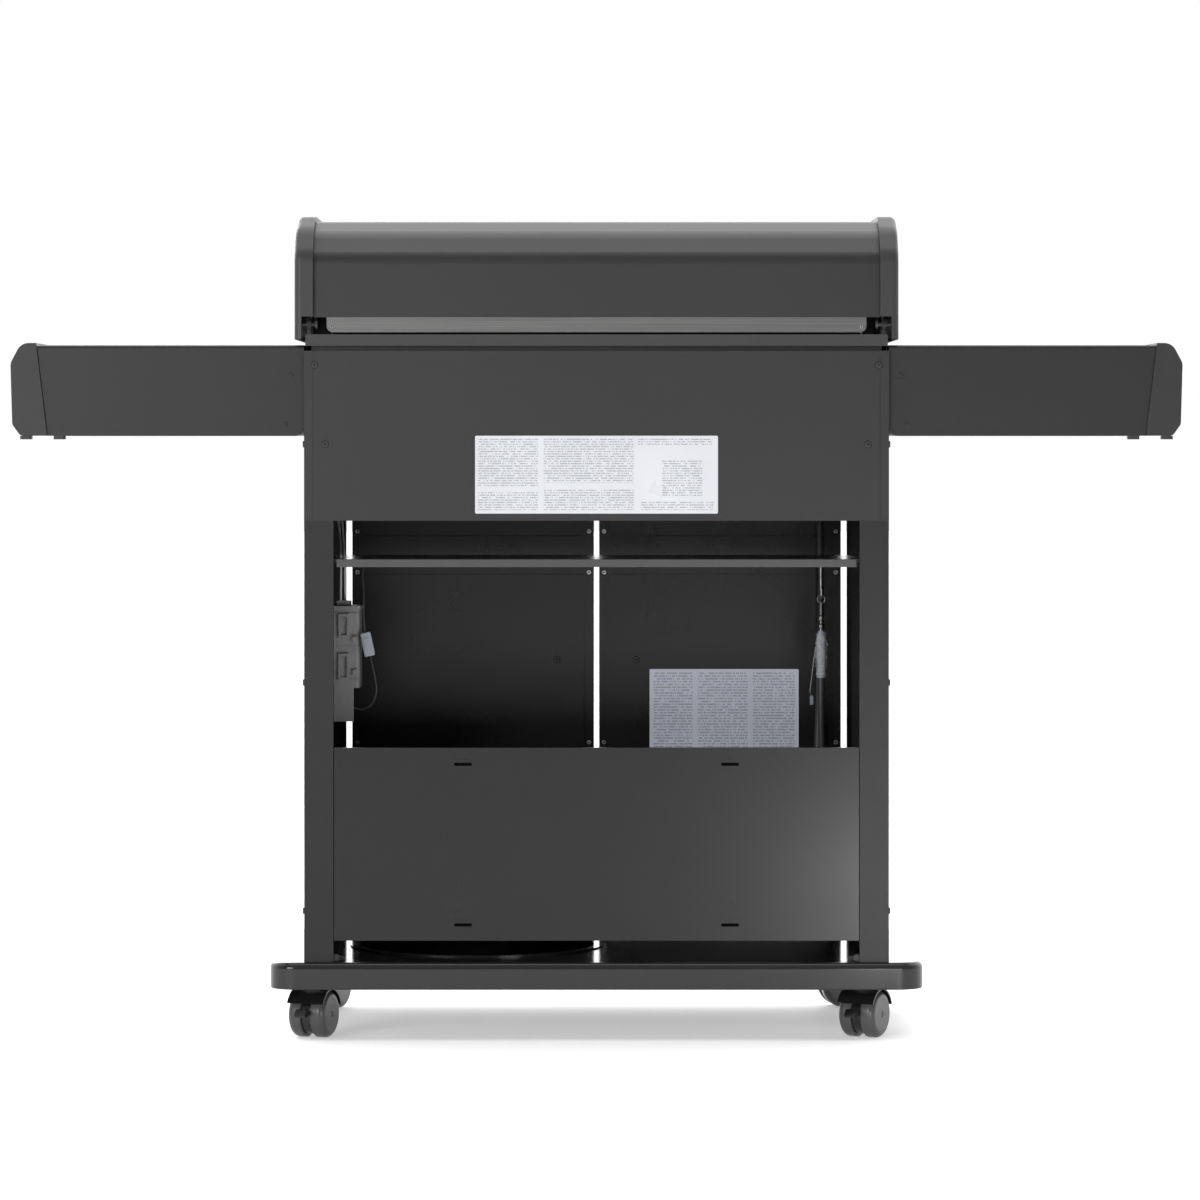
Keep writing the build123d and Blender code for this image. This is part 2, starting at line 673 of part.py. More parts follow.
with BuildPart() as knob_bezels:
    for x in BURNER_X:
        with BuildSketch(Plane(origin=(x, KNOB_Y, KNOB_Z), x_dir=(1, 0, 0), z_dir=VALVE_DIR)):
            Circle(31)
            Circle(7, mode=Mode.SUBTRACT)
        extrude(amount=4, taper=20)
    with BuildSketch(Plane(origin=(360, KNOB_Y, KNOB_Z), x_dir=(1, 0, 0), z_dir=VALVE_DIR)):
        Circle(17)
        Circle(7.6, mode=Mode.SUBTRACT)
    extrude(amount=4)
    # the igniter's housing behind the panel
    with BuildSketch(Plane(origin=(360, KNOB_Y, KNOB_Z), x_dir=(1, 0, 0), z_dir=VALVE_DIR)):
        Circle(9.9)
        Circle(7.6, mode=Mode.SUBTRACT)
    extrude(amount=-24)
    with BuildSketch(Plane(origin=(360, KNOB_Y, KNOB_Z), x_dir=(1, 0, 0), z_dir=VALVE_DIR).offset(-24)):
        Circle(9.9)
    extrude(amount=-2)
knob_bezels.part.label = "knob_bezels"

with BuildPart() as igniter_button:
    with BuildSketch(Plane(origin=(360, KNOB_Y, KNOB_Z), x_dir=(1, 0, 0), z_dir=VALVE_DIR).offset(-14)):
        Circle(7.5)
    extrude(amount=24)
    fillet(igniter_button.edges().filter_by(GeomType.CIRCLE).sort_by(Axis.Y)[0], 1.5)
igniter_button.part.label = "igniter_button"

# ------------------------------------------------------------------ side shelves

SHELF_DEPTH = SHELF_REAR - SHELF_FRONT

with BuildPart() as right_shelf:
    with BuildSketch(facing_rear(SHELF_FRONT)):
        Polygon(
            (-SHELF_IN, SHELF_TOP), (-SHELF_IN, SHELF_BOTTOM), (-769.5, SHELF_BOTTOM), (-784.5, SHELF_TOP),
            align=None,
        )
    extrude(amount=SHELF_DEPTH)
    fillet(right_shelf.edges().filter_by(Axis.Y).sort_by(Axis.X)[:2].sort_by(Axis.Z)[0], 12)
    fillet(right_shelf.edges().filter_by(Axis.X).group_by(Axis.Z)[-1], 5)
    with BuildSketch(facing_rear(SHELF_FRONT + SHEET)):
        Polygon(
            (-SHELF_IN - SHEET, SHELF_TOP - SHEET), (-SHELF_IN - SHEET, SHELF_BOTTOM + 14),
            (-SHELF_IN - 14, SHELF_BOTTOM - 1), (-768, SHELF_BOTTOM - 1), (-783, SHELF_TOP - SHEET),
            align=None,
        )
    extrude(amount=SHELF_DEPTH - 2 * SHEET, mode=Mode.SUBTRACT)
right_shelf.part.label = "right_shelf"

with BuildPart() as left_shelf:
    mirror(right_shelf.part, about=Plane.YZ)
left_shelf.part.label = "left_shelf"

CAP_LOWER_R = 8
CAP_UPPER_R = 18
with BuildPart() as right_cap_blank:
    with BuildSketch(facing_rear(SHELF_FRONT - 3)):
        Polygon(
            (-785.3, 976), (-806, 976), (-SHELF_OUT, 948), (-818.5, 862), (-807, SHELF_BOTTOM),
            (-769.8, SHELF_BOTTOM),
            align=None,
        )
    extrude(amount=SHELF_DEPTH + 6)
    outer_edges = right_cap_blank.edges().filter_by(Axis.Y).sort_by(Axis.X)[2:].sort_by(Axis.Z)
    fillet(outer_edges[:2], CAP_LOWER_R)
    fillet(outer_edges[2:], CAP_UPPER_R)
    with BuildSketch(facing_rear(SHELF_FRONT + 1)):
        Polygon(
            (-789, 972), (-804, 972), (-817, 946.5), (-814.6, 863), (-804, SHELF_BOTTOM - 1),
            (-774, SHELF_BOTTOM - 1),
            align=None,
        )
    extrude(amount=SHELF_DEPTH - 2, mode=Mode.SUBTRACT)
with BuildPart() as shelf_end_caps:
    add(right_cap_blank.part)
    mirror(right_cap_blank.part, about=Plane.YZ)
shelf_end_caps.part.label = "shelf_end_caps"

# under the bottom edges of the shelf's and the cap's front and rear walls
FOOT_DEPTH = 20
with BuildPart() as shelf_feet:
    for x, y in (
        (753, SHELF_REAR - FOOT_DEPTH / 2), (800, SHELF_REAR - FOOT_DEPTH / 2),
        (800, SHELF_FRONT + FOOT_DEPTH / 2),
    ):
        with BuildSketch(Plane.XY.offset(SHELF_BOTTOM)):
            with Locations((-x, y), (x, y)):
                RectangleRounded(16, FOOT_DEPTH, 3)
        extrude(amount=-5)
shelf_feet.part.label = "shelf_feet"

# ------------------------------------------------------------------ ignition

with BuildPart() as battery_box:
    with BuildSketch(Plane.XY.offset(488)):
        with Locations((371, 155)):
            RectangleRounded(70, 68, 5)
    extrude(amount=112)
    with BuildSketch(Plane.XY.offset(600)):
        with Locations((371, 155)):
            RectangleRounded(74, 72, 6)
    extrude(amount=4)
    with BuildSketch(Plane.XY.offset(604)):
        with Locations((361, 160)):
            RectangleRounded(22, 40, 4)
    extrude(amount=7)
    # two latch frames on the rear face
    for z, height in ((576, 34), (518, 38)):
        with BuildSketch(facing_rear(189)):
            with Locations((-359, z)):
                Rectangle(15, height)
                Rectangle(9, height - 8, mode=Mode.SUBTRACT)
        extrude(amount=5)
    # bracket down the side panel
    with BuildSketch(Plane.XY.offset(436)):
        with Locations((407, 155)):
            Rectangle(2, 60)
    extrude(amount=160)
    with BuildSketch(Plane.XY.offset(440)):
        with Locations((367, 187)):
            Rectangle(44, 3)
    extrude(amount=50)
    with BuildSketch(Plane.XY.offset(440)):
        with Locations((398, 187)):
            Rectangle(20, 3)
    extrude(amount=30)
battery_box.part.label = "battery_box"

CONNECTOR = Plane(origin=(325, 186, 550), x_dir=(cos(radians(12)), 0, -sin(radians(12))), z_dir=(0, 1, 0))
with BuildPart() as igniter_connector:
    with BuildSketch(CONNECTOR):
        Rectangle(15, 34)
    extrude(amount=10)
    fillet(igniter_connector.edges(), 1.5)
    with BuildSketch(CONNECTOR.offset(10)):
        Rectangle(7, 18)
    extrude(amount=2)
igniter_connector.part.label = "igniter_connector"

LEAD_ROUTES = (
    # two leads from the battery box up the inside of the side panel to the button
    ((358, 168, 610.5), (359, 170, 690), (366, 158, 752), (382, 90, 792), (388, -20, 800), (377, -125, 812),
     (360, -180, 842), (357, -227.5, 876.5)),
    ((364, 176, 610.5), (363, 180, 690), (371, 166, 757), (388, 94, 798), (394, -20, 806), (382, -128, 818),
     (364, -184, 850), (363, -227.5, 878)),
    # from the shield down to the connector
    ((331, 180, 661.5), (333, 187, 650), (330, 190, 622), (331, 193, 592), (328.8, 191, 566)),
    # from the connector in a loop back to the box
    ((321.5, 191, 533.8), (315, 195, 508), (311, 197, 484), (318, 192, 464), (333, 188, 456),
     (344.8, 187, 460)),
)
LEAD_R = (1.6, 1.6, 1.2, 1.2)
with BuildPart() as igniter_leads:
    for route, lead_r in zip(LEAD_ROUTES, LEAD_R):
        with BuildLine() as lead_line:
            FilletPolyline(*route, radius=arc_radii(route))
        with BuildSketch(Plane(origin=route[0], z_dir=lead_line.line % 0)):
            Circle(lead_r)
        sweep()
igniter_leads.part.label = "igniter_leads"

# ------------------------------------------------------------------ gas hose

with BuildPart() as hose_hook:
    with BuildLine():
        FilletPolyline(
            (HOOK_X, 22, 671.5), (HOOK_X, 22, 611.1), (HOOK_X, 38, 611.1), (HOOK_X, 38, 624), radius=6
        )
    with BuildSketch(Plane.XY.offset(671.5)):
        with Locations((HOOK_X, 22)):
            Circle(1.8)
    sweep()
hose_hook.part.label = "hose_hook"

with BuildPart() as hose_end_fitting:
    with Locations(Location((HOOK_X, HOOK_Y, 609), (90, 0, 0))):
        Torus(5.5, 1.3)
    with BuildSketch(Plane(origin=(HOOK_X, HOOK_Y, 0), x_dir=(1, 0, 0), z_dir=(0, -1, 0))):
        Polygon(
            (0, 603.8), (2, 603.8), (2, 586), (5, 584), (5, 579), (3.4, 578), (3.4, 574), (5, 572), (5, 568),
            (3.4, 567), (3.4, 563.3), (0, 563.3),
            align=None,
        )
    revolve(axis=Axis((HOOK_X, HOOK_Y, 0), (0, 0, 1)))
hose_end_fitting.part.label = "hose_end_fitting"

with BuildPart() as hose_end_sleeve:
    with BuildSketch(Plane(origin=(HOOK_X, HOOK_Y, 0), x_dir=(1, 0, 0), z_dir=(0, -1, 0))):
        Polygon(
            (0, 563), (4.5, 563), (6.2, 556), (6.6, 530), (6, 510), (7, 500), (6.4, 495), (0, 495),
            align=None,
        )
    revolve(axis=Axis((HOOK_X, HOOK_Y, 0), (0, 0, 1)))
hose_end_sleeve.part.label = "hose_end_sleeve"

HOSE_ROUTE = (
    (HOOK_X, HOOK_Y, 495),
    (HOOK_X, HOOK_Y, 425),
    (-328, 26, 350),
    (-329, -2, 290),
    (-328, -50, 264),
    (-327, -102, 282),
    (-327, -137, 338),
    (-329, -146, 415),
    (-332, -141, 500),
    (-333, -138, 590),
    (-332, -143, 670),
    (-331, -145, 750),
)
with BuildPart() as gas_hose:
    with BuildLine() as hose_line:
        FilletPolyline(*HOSE_ROUTE, radius=arc_radii(HOSE_ROUTE))
    with BuildSketch(Plane(origin=HOSE_ROUTE[0], z_dir=hose_line.line % 0)):
        Circle(HOSE_R)
    sweep()
gas_hose.part.label = "gas_hose"
print("hose radii", [round(radius) for radius in arc_radii(HOSE_ROUTE)])
hose_length = sum(edge.length for edge in hose_line.edges())
print("hose length", round(hose_length, 1), "mm, volume", round(gas_hose.part.volume), "mm3")

# ------------------------------------------------------------------ grease tray

with BuildPart() as grease_tray:
    with BuildSketch(Plane.XY.offset(727.3)):
        with Locations((0, 50)):
            RectangleRounded(300, 220, 12)
    extrude(amount=30)
    with BuildSketch(Plane.XY.offset(729.3)):
        with Locations((0, 50)):
            RectangleRounded(296, 216, 10)
    extrude(amount=30, mode=Mode.SUBTRACT)
    with BuildSketch(Plane(origin=(0, -60, 742), x_dir=(1, 0, 0), z_dir=(0, -1, 0))):
        RectangleRounded(90, 14, 5)
    extrude(amount=14)
grease_tray.part.label = "grease_tray"

# ------------------------------------------------------------------ casters

# (name, pivot x, pivot y, heading of the trailing wheels from +Y towards +X, has a brake)
CASTERS = (
    ("rear_right", CASTER_X, CASTER_REAR_Y, 20, True),
    ("rear_left", -CASTER_X, CASTER_REAR_Y, 27, True),
    ("front_right", CASTER_X, CASTER_FRONT_Y, 22, False),
    ("front_left", -CASTER_X, CASTER_FRONT_Y, 80, False),
)

with BuildPart() as caster_plates:
    for name, x, y, heading, braked in CASTERS:
        with BuildSketch(Plane.XY.offset(102.5)):
            with Locations((x, y)):
                RectangleRounded(62, 62, 8)
        extrude(amount=2.5)
        with BuildSketch(Plane.XY.offset(82)):
            with Locations((x, y)):
                Circle(5)
        extrude(amount=20.5)
caster_plates.part.label = "caster_plates"

caster_parts = []
for name, x, y, heading, braked in CASTERS:
    trail_dir = Vector(sin(radians(heading)), cos(radians(heading)), 0)
    axle_dir = Vector(trail_dir.Y, -trail_dir.X, 0)
    side_view = Plane(origin=(x, y, 0), x_dir=trail_dir, z_dir=axle_dir)
    with BuildPart() as hood:
        # core between the two wheels
        with BuildSketch(side_view):
            with Locations((TRAIL, WHEEL_R)):
                Circle(29)
            Polygon((-11, 46), (-11, 66), (-6, 69.3), (TRAIL, 69.3), (48, 60), (TRAIL, 40), align=None)
        extrude(amount=6.5, both=True)
        # cover over both wheels
        with BuildSketch(side_view):
            with Locations((TRAIL, WHEEL_R)):
                Circle(36.3)
                Circle(34, mode=Mode.SUBTRACT)
            Polygon(
                (TRAIL, WHEEL_R), (TRAIL + 90, WHEEL_R + 48), (TRAIL, WHEEL_R + 120),
                (TRAIL - 90, WHEEL_R + 30),
                align=None,
                mode=Mode.INTERSECT,
            )
        extrude(amount=27.5, both=True)
        # swivel barrel
        with BuildSketch(Plane.XY.offset(63)):
            with Locations((x, y)):
                Circle(11)
        extrude(amount=39.2)
        with BuildSketch(Plane.XY.offset(81)):
            with Locations((x, y)):
                Circle(5 + RUNNING)
        extrude(amount=30, mode=Mode.SUBTRACT)
        # axle
        with BuildSketch(side_view):
            with Locations((TRAIL, WHEEL_R)):
                Circle(AXLE_R)
        extrude(amount=26.5, both=True)
        if braked:
            with BuildSketch(side_view):
                Polygon(
                    (50, 30), (62, 34.8), (66, 34.5), (69.5, 38), (66, 41.5), (60, 40.5), (50, 40),
                    align=None,
                )
            extrude(amount=2.5, both=True)
            with BuildSketch(side_view):
                with Locations((66, 38)):
                    Circle(1.5)
            extrude(amount=8, both=True)
    hood.part.label = f"caster_{name}_hood"
    caster_parts.append(hood)
    with BuildPart() as wheels:
        with BuildSketch(side_view):
            with Locations((TRAIL, WHEEL_R)):
                Circle(WHEEL_R)
                Circle(AXLE_R + RUNNING, mode=Mode.SUBTRACT)
        extrude(amount=27.5, both=True)
        with BuildSketch(side_view):
            with Locations((TRAIL, WHEEL_R)):
                Circle(WHEEL_R + 5)
        extrude(amount=7.2, both=True, mode=Mode.SUBTRACT)
        # smooth faces that round over into the tread
        rims = wheels.edges().filter_by(GeomType.CIRCLE).filter_by(lambda edge: edge.radius > 30)
        by_width = rims.sort_by(Axis((x, y, 0), axle_dir))
        fillet(by_width[1:3], 2)
        fillet([by_width[0], by_width[3]], 9)
    wheels.part.label = f"caster_{name}_wheels"
    caster_parts.append(wheels)
    if braked:
        with BuildPart() as pedal:
            with BuildSketch(side_view):
                Polygon((62, 33.5), (76, 31.5), (78, 34.5), (72, 42.5), (62, 42.5), align=None)
                with Locations((66, 38)):
                    Circle(1.5 + RUNNING, mode=Mode.SUBTRACT)
            extrude(amount=8, both=True)
            with BuildSketch(side_view):
                with Locations((63, 38)):
                    Rectangle(16, 20)
            extrude(amount=2.9, both=True, mode=Mode.SUBTRACT)
        pedal.part.label = f"caster_{name}_brake"
        caster_parts.append(pedal)

# ------------------------------------------------------------------ files

finished = [
    base_shelf, cylinder_well, right_side_panel, left_side_panel, rear_upper_panel, rear_lower_panel,
    heat_shield, front_rail, door_brackets, control_panel, rating_plate, cabinet_screws,
    firebox, burners, flame_tamers, cooking_grids, warming_rack, gas_manifold, burner_valves, hinge_lugs,
    lid_skin, lid_right_end, lid_left_end, rear_baffle, lid_handle, lid_thermometer,
    right_door, left_door, right_door_handle, left_door_handle, safety_card,
    knob_bezels, igniter_button, right_shelf, left_shelf, shelf_end_caps, shelf_feet,
    battery_box, igniter_connector, igniter_leads,
    hose_hook, hose_end_fitting, hose_end_sleeve, gas_hose, grease_tray, caster_plates,
] + knobs + caster_parts
for piece in finished:
    export_step(piece.part, f"parts/{piece.part.label}.step")
print(len(finished), "pieces")
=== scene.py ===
import math
import random

import bmesh
import bpy
from mathutils import Matrix, Vector


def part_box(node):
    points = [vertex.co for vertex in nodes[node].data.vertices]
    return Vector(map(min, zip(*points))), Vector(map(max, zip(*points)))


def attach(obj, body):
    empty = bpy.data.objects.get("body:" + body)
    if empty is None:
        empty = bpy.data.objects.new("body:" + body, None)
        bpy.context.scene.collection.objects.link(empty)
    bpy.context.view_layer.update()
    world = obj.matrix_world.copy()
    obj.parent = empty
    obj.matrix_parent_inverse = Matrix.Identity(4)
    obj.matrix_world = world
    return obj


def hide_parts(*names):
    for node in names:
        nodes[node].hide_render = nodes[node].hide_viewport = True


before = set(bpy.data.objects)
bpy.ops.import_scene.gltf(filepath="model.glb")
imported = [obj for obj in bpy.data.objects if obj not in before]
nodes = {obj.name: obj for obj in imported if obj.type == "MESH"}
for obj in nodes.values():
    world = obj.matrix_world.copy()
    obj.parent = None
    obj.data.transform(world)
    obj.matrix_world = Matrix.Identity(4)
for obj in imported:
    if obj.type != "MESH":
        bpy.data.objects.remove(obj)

for stray in ("Cube", "Light", "Camera"):
    if stray in bpy.data.objects:
        bpy.data.objects.remove(bpy.data.objects[stray])
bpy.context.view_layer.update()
random.seed(7)

# ---------------------------------------------------------------- camera and studio

REAR_PLANE = 0.293
SHELF_REAR = 0.288
PANEL_THICK = 0.0015
BURNER_X = (-0.27, -0.09, 0.09, 0.27)
CAMERA_AWAY = 7.23
EYE_HEIGHT = 0.84

camera_data = bpy.data.cameras.new("camera")
camera_data.lens = 154.9
camera_data.sensor_width = 36
camera_data.shift_x = 0.0029
camera_data.shift_y = -0.1333
camera = bpy.data.objects.new("camera", camera_data)
camera.location = (0, REAR_PLANE + CAMERA_AWAY, EYE_HEIGHT)
camera.rotation_euler = (math.radians(90), 0, math.radians(180))
bpy.context.collection.objects.link(camera)
bpy.context.scene.camera = camera
bpy.context.scene.view_settings.view_transform = "Standard"


def studio_light(name, place, aim, width, height, power):
    light = bpy.data.lights.new(name, "AREA")
    light.shape = "RECTANGLE"
    light.size = width
    light.size_y = height
    light.energy = power
    lamp = bpy.data.objects.new(name, light)
    lamp.location = place
    lamp.rotation_euler = (Vector(aim) - Vector(place)).to_track_quat("-Z", "Y").to_euler()
    lamp.visible_camera = False
    bpy.context.collection.objects.link(lamp)


studio_light("overhead_softbox", (0, 0.1, 3.4), (0, 0.0, 0.9), 3.2, 1.6, 34)
studio_light("rear_softbox", (3.6, 5.9, 1.9), (0, 0.3, 0.6), 2.6, 1.4, 200)
studio_light("low_side_softbox", (-0.66, 1.5, 0.11), (-0.3, 0.3, 0.22), 0.5, 0.14, 5)
studio_light("cook_side_softbox", (1.8, -3.4, 2.2), (0, 0, 0.8), 2.2, 1.6, 60)


def wired(tree, kind, values=None, links=None, **settings):
    """Adds one node: its settings, its socket values, and the sockets that feed it."""
    node = tree.nodes.new(kind)
    for key, value in settings.items():
        setattr(node, key, value)
    for key, value in (values or {}).items():
        node.inputs[key].default_value = value
    for key, source in (links or {}).items():
        tree.links.new(source, node.inputs[key])
    return node


studio = bpy.data.worlds.new("studio")
bpy.context.scene.world = studio
studio.use_nodes = True
sky = studio.node_tree
sky.nodes.clear()
ray = wired(sky, "ShaderNodeLightPath")
heading = wired(sky, "ShaderNodeTexCoord")
split = wired(sky, "ShaderNodeSeparateXYZ", links={0: heading.outputs["Generated"]})
backdrop = wired(sky, "ShaderNodeMapRange", {1: -0.5, 2: 0.4, 3: 2.3, 4: 0.17}, {0: split.outputs["Y"]})
ceiling = wired(sky, "ShaderNodeMapRange", {1: 0.1, 2: 0.8, 3: 0.0, 4: 0.22}, {0: split.outputs["Z"]})
around = wired(sky, "ShaderNodeMath", links={0: backdrop.outputs[0], 1: ceiling.outputs[0]}, operation="ADD")
shown = wired(
    sky, "ShaderNodeMix", {3: 1.0}, {0: ray.outputs["Is Camera Ray"], 2: around.outputs[0]},
    data_type="FLOAT",
)
glow = wired(sky, "ShaderNodeBackground", {0: (1, 1, 1, 1)}, {1: shown.outputs[0]})
wired(sky, "ShaderNodeOutputWorld", links={0: glow.outputs[0]})

# ---------------------------------------------------------------- finishes


def finish_start(name, colour, roughness, metallic=0.0):
    """A finish with its shader, and Object coordinates to pattern it with."""
    material = bpy.data.materials.new(name)
    material.use_nodes = True
    tree = material.node_tree
    shader = tree.nodes["Principled BSDF"]
    shader.inputs["Base Color"].default_value = (*colour, 1)
    shader.inputs["Roughness"].default_value = roughness
    shader.inputs["Metallic"].default_value = metallic
    place = wired(tree, "ShaderNodeTexCoord").outputs["Object"]
    return material, tree, shader, place


def tint(tree, shader, place, low, high, scale, detail=4.0):
    """Drifts the colour between two tones over the surface."""
    drift = wired(tree, "ShaderNodeTexNoise", {"Scale": scale, "Detail": detail}, {"Vector": place})
    ramp = wired(tree, "ShaderNodeValToRGB", links={0: drift.outputs[0]})
    ramp.color_ramp.elements[0].position = 0.2
    ramp.color_ramp.elements[0].color = (*low, 1)
    ramp.color_ramp.elements[1].position = 0.8
    ramp.color_ramp.elements[1].color = (*high, 1)
    tree.links.new(ramp.outputs[0], shader.inputs["Base Color"])


def sheen_drift(tree, shader, place, low, high, scale):
    """Drifts the roughness between two values."""
    drift = wired(tree, "ShaderNodeTexNoise", {"Scale": scale, "Detail": 5.0}, {"Vector": place})
    span = wired(tree, "ShaderNodeMapRange", {1: 0.2, 2: 0.8, 3: low, 4: high}, {0: drift.outputs[0]})
    tree.links.new(span.outputs[0], shader.inputs["Roughness"])


def grain(tree, shader, place, scale, strength, depth, detail=2.0):
    """Fine surface relief."""
    relief = wired(tree, "ShaderNodeTexNoise", {"Scale": scale, "Detail": detail}, {"Vector": place})
    bump = wired(
        tree, "ShaderNodeBump", {"Strength": strength, "Distance": depth}, {"Height": relief.outputs[0]}
    )
    tree.links.new(bump.outputs[0], shader.inputs["Normal"])


def powder_coat(name, tone, low, high, peel=0.16):
    """Baked powder coat: orange peel, faint tone drift, slight bloom in the gloss."""
    dark = tuple(channel * 0.96 for channel in tone)
    light = tuple(channel * 1.04 for channel in tone)
    material, tree, shader, place = finish_start(name, tone, low)
    shader.inputs["Specular IOR Level"].default_value = 0.34
    tint(tree, shader, place, dark, light, 2.2)
    sheen_drift(tree, shader, place, low, high, 7)
    grain(tree, shader, place, 1100, peel, 0.0004)
    return material


def brushed(name, tone, low, high, stretch):
    """Brushed metal, its lines drawn out along the axis with the small stretch."""
    material, tree, shader, place = finish_start(name, tone, low, 1.0)
    lay = wired(tree, "ShaderNodeMapping", {"Scale": stretch}, {"Vector": place})
    dark = tuple(channel * 0.82 for channel in tone)
    light = tuple(min(1, channel * 1.15) for channel in tone)
    tint(tree, shader, lay.outputs[0], dark, light, 1.0, 6)
    sheen_drift(tree, shader, lay.outputs[0], low, high, 1.6)
    grain(tree, shader, lay.outputs[0], 3.0, 0.25, 0.0003, 5)
    return material


def moulded(name, tone, roughness, grit=1700, strength=0.2):
    """Moulded plastic with a fine spark-eroded grain."""
    material, tree, shader, place = finish_start(name, tone, roughness)
    shader.inputs["Specular IOR Level"].default_value = 0.36
    dark = tuple(channel * 0.85 for channel in tone)
    light = tuple(min(1, channel * 1.15) for channel in tone)
    tint(tree, shader, place, dark, light, 18)
    sheen_drift(tree, shader, place, roughness * 0.85, min(1, roughness * 1.15), 30)
    grain(tree, shader, place, grit, strength, 0.0004)
    return material


def plated(name, tone, roughness, spangle):
    """Zinc or brass plating with a crystalline spangle."""
    material, tree, shader, place = finish_start(name, tone, roughness, 1.0)
    cells = wired(tree, "ShaderNodeTexVoronoi", {"Scale": spangle}, {"Vector": place})
    ramp = wired(tree, "ShaderNodeValToRGB", links={0: cells.outputs["Color"]})
    ramp.color_ramp.elements[0].color = (*[channel * 0.7 for channel in tone], 1)
    ramp.color_ramp.elements[1].color = (*[min(1, channel * 1.2) for channel in tone], 1)
    tree.links.new(ramp.outputs[0], shader.inputs["Base Color"])
    sheen_drift(tree, shader, place, roughness * 0.8, roughness * 1.2, 60)
    grain(tree, shader, place, 900, 0.1, 0.0003)
    return material


LID_TONE = (0.02, 0.02, 0.02)
CABINET_TONE = (0.018, 0.018, 0.018)
lid_coat = powder_coat("lid coat", LID_TONE, 0.39, 0.43)
cabinet_coat = powder_coat("cabinet coat", CABINET_TONE, 0.42, 0.46)
shelf_coat = powder_coat("shelf coat", (0.014, 0.014, 0.014), 0.41, 0.45)
post_coat = powder_coat("side panel coat", (0.008, 0.008, 0.008), 0.43, 0.47)
lower_coat = powder_coat("lower panel coat", (0.008, 0.008, 0.008), 0.26, 0.32, 0.12)
base_coat = powder_coat("base coat", (0.016, 0.016, 0.016), 0.08, 0.15, 0.06)
shield_coat = powder_coat("heat shield coat", (0.06, 0.06, 0.06), 0.18, 0.26, 0.08)
cast_coat = powder_coat("cast end coat", (0.027, 0.027, 0.027), 0.4, 0.52, 0.3)
firebox_coat = powder_coat("firebox coat", (0.03, 0.03, 0.03), 0.42, 0.55, 0.35)
door_enamel = powder_coat("door enamel", (0.007, 0.007, 0.007), 0.24, 0.33, 0.1)
steel_along = brushed("brushed steel along", (0.18, 0.18, 0.178), 0.26, 0.4, (2.5, 500, 500))
steel_upright = brushed("brushed steel upright", (0.42, 0.42, 0.415), 0.24, 0.38, (500, 500, 2.5))
steel_tube = brushed("burner steel", (0.45, 0.43, 0.4), 0.3, 0.45, (400, 3, 400))
zinc = plated("zinc plating", (0.45, 0.46, 0.47), 0.36, 260)
brass = plated("dull brass", (0.42, 0.38, 0.3), 0.34, 500)
dull_fitting = plated("dull hose fitting", (0.17, 0.165, 0.155), 0.3, 500)
black_plastic = moulded("black plastic", (0.022, 0.022, 0.024), 0.42)
cap_plastic = moulded("shelf cap plastic", (0.019, 0.019, 0.0192), 0.46)
grey_plastic = moulded("battery box plastic", (0.17, 0.17, 0.172), 0.4)
pale_plastic = moulded("connector plastic", (0.26, 0.28, 0.31), 0.38)
lead_rubber = moulded("lead sleeve", (0.2, 0.2, 0.21), 0.45, 2500, 0.12)


def two_tone_leads(material, pale, dark, change_x):
    """The box's own leads are pale and those at the connector dark: the change is at change_x."""
    tree = material.node_tree
    place = wired(tree, "ShaderNodeTexCoord").outputs["Object"]
    axes = wired(tree, "ShaderNodeSeparateXYZ", links={0: place})
    outer = wired(tree, "ShaderNodeMath", {1: change_x}, {0: axes.outputs["X"]}, operation="GREATER_THAN")
    mottle = wired(tree, "ShaderNodeTexNoise", {"Scale": 40, "Detail": 3}, {"Vector": place})
    shade = wired(tree, "ShaderNodeMapRange", {1: 0.3, 2: 0.7, 3: 0.85, 4: 1.1}, {0: mottle.outputs[0]})
    tone = wired(
        tree, "ShaderNodeMix", {6: (*dark, 1), 7: (*pale, 1)}, {0: outer.outputs[0]}, data_type="RGBA"
    )
    worn = wired(
        tree, "ShaderNodeMix", {0: 1.0}, {6: tone.outputs[2], 7: shade.outputs[0]},
        data_type="RGBA", blend_type="MULTIPLY",
    )
    tree.links.new(worn.outputs[2], tree.nodes["Principled BSDF"].inputs["Base Color"])


two_tone_leads(lead_rubber, (0.34, 0.34, 0.34), (0.03, 0.03, 0.03), 0.346)
hose_rubber = moulded("hose rubber", (0.045, 0.045, 0.047), 0.4, 1300, 0.3)
tread = moulded("caster tread", (0.05, 0.05, 0.051), 0.3, 900, 0.1)
hood_gloss = moulded("caster hood", (0.008, 0.008, 0.0085), 0.2, 1500, 0.05)
# Near-black paint: the own colour of the hinge lugs, thermometer ticks and needle, and painted shade where
# it marks the screw recesses and the burner port holes.
black_and_recess_shade = moulded("recess", (0.006, 0.006, 0.006), 0.6)
slot_shade = moulded("slot shade", (0.002, 0.002, 0.002), 0.8)
slot_shade.node_tree.nodes["Principled BSDF"].inputs["Specular IOR Level"].default_value = 0.04
mark_white = moulded("pointer paint", (0.7, 0.7, 0.69), 0.4, 2600, 0.06)


def cast_iron_finish():
    """Rough black enamel on cast iron."""
    material, tree, shader, place = finish_start("enamelled cast iron", (0.02, 0.02, 0.021), 0.4)
    tint(tree, shader, place, (0.014, 0.014, 0.015), (0.035, 0.033, 0.032), 25)
    sheen_drift(tree, shader, place, 0.28, 0.55, 18)
    grain(tree, shader, place, 420, 0.5, 0.0008, 4)
    return material


cast_iron = cast_iron_finish()


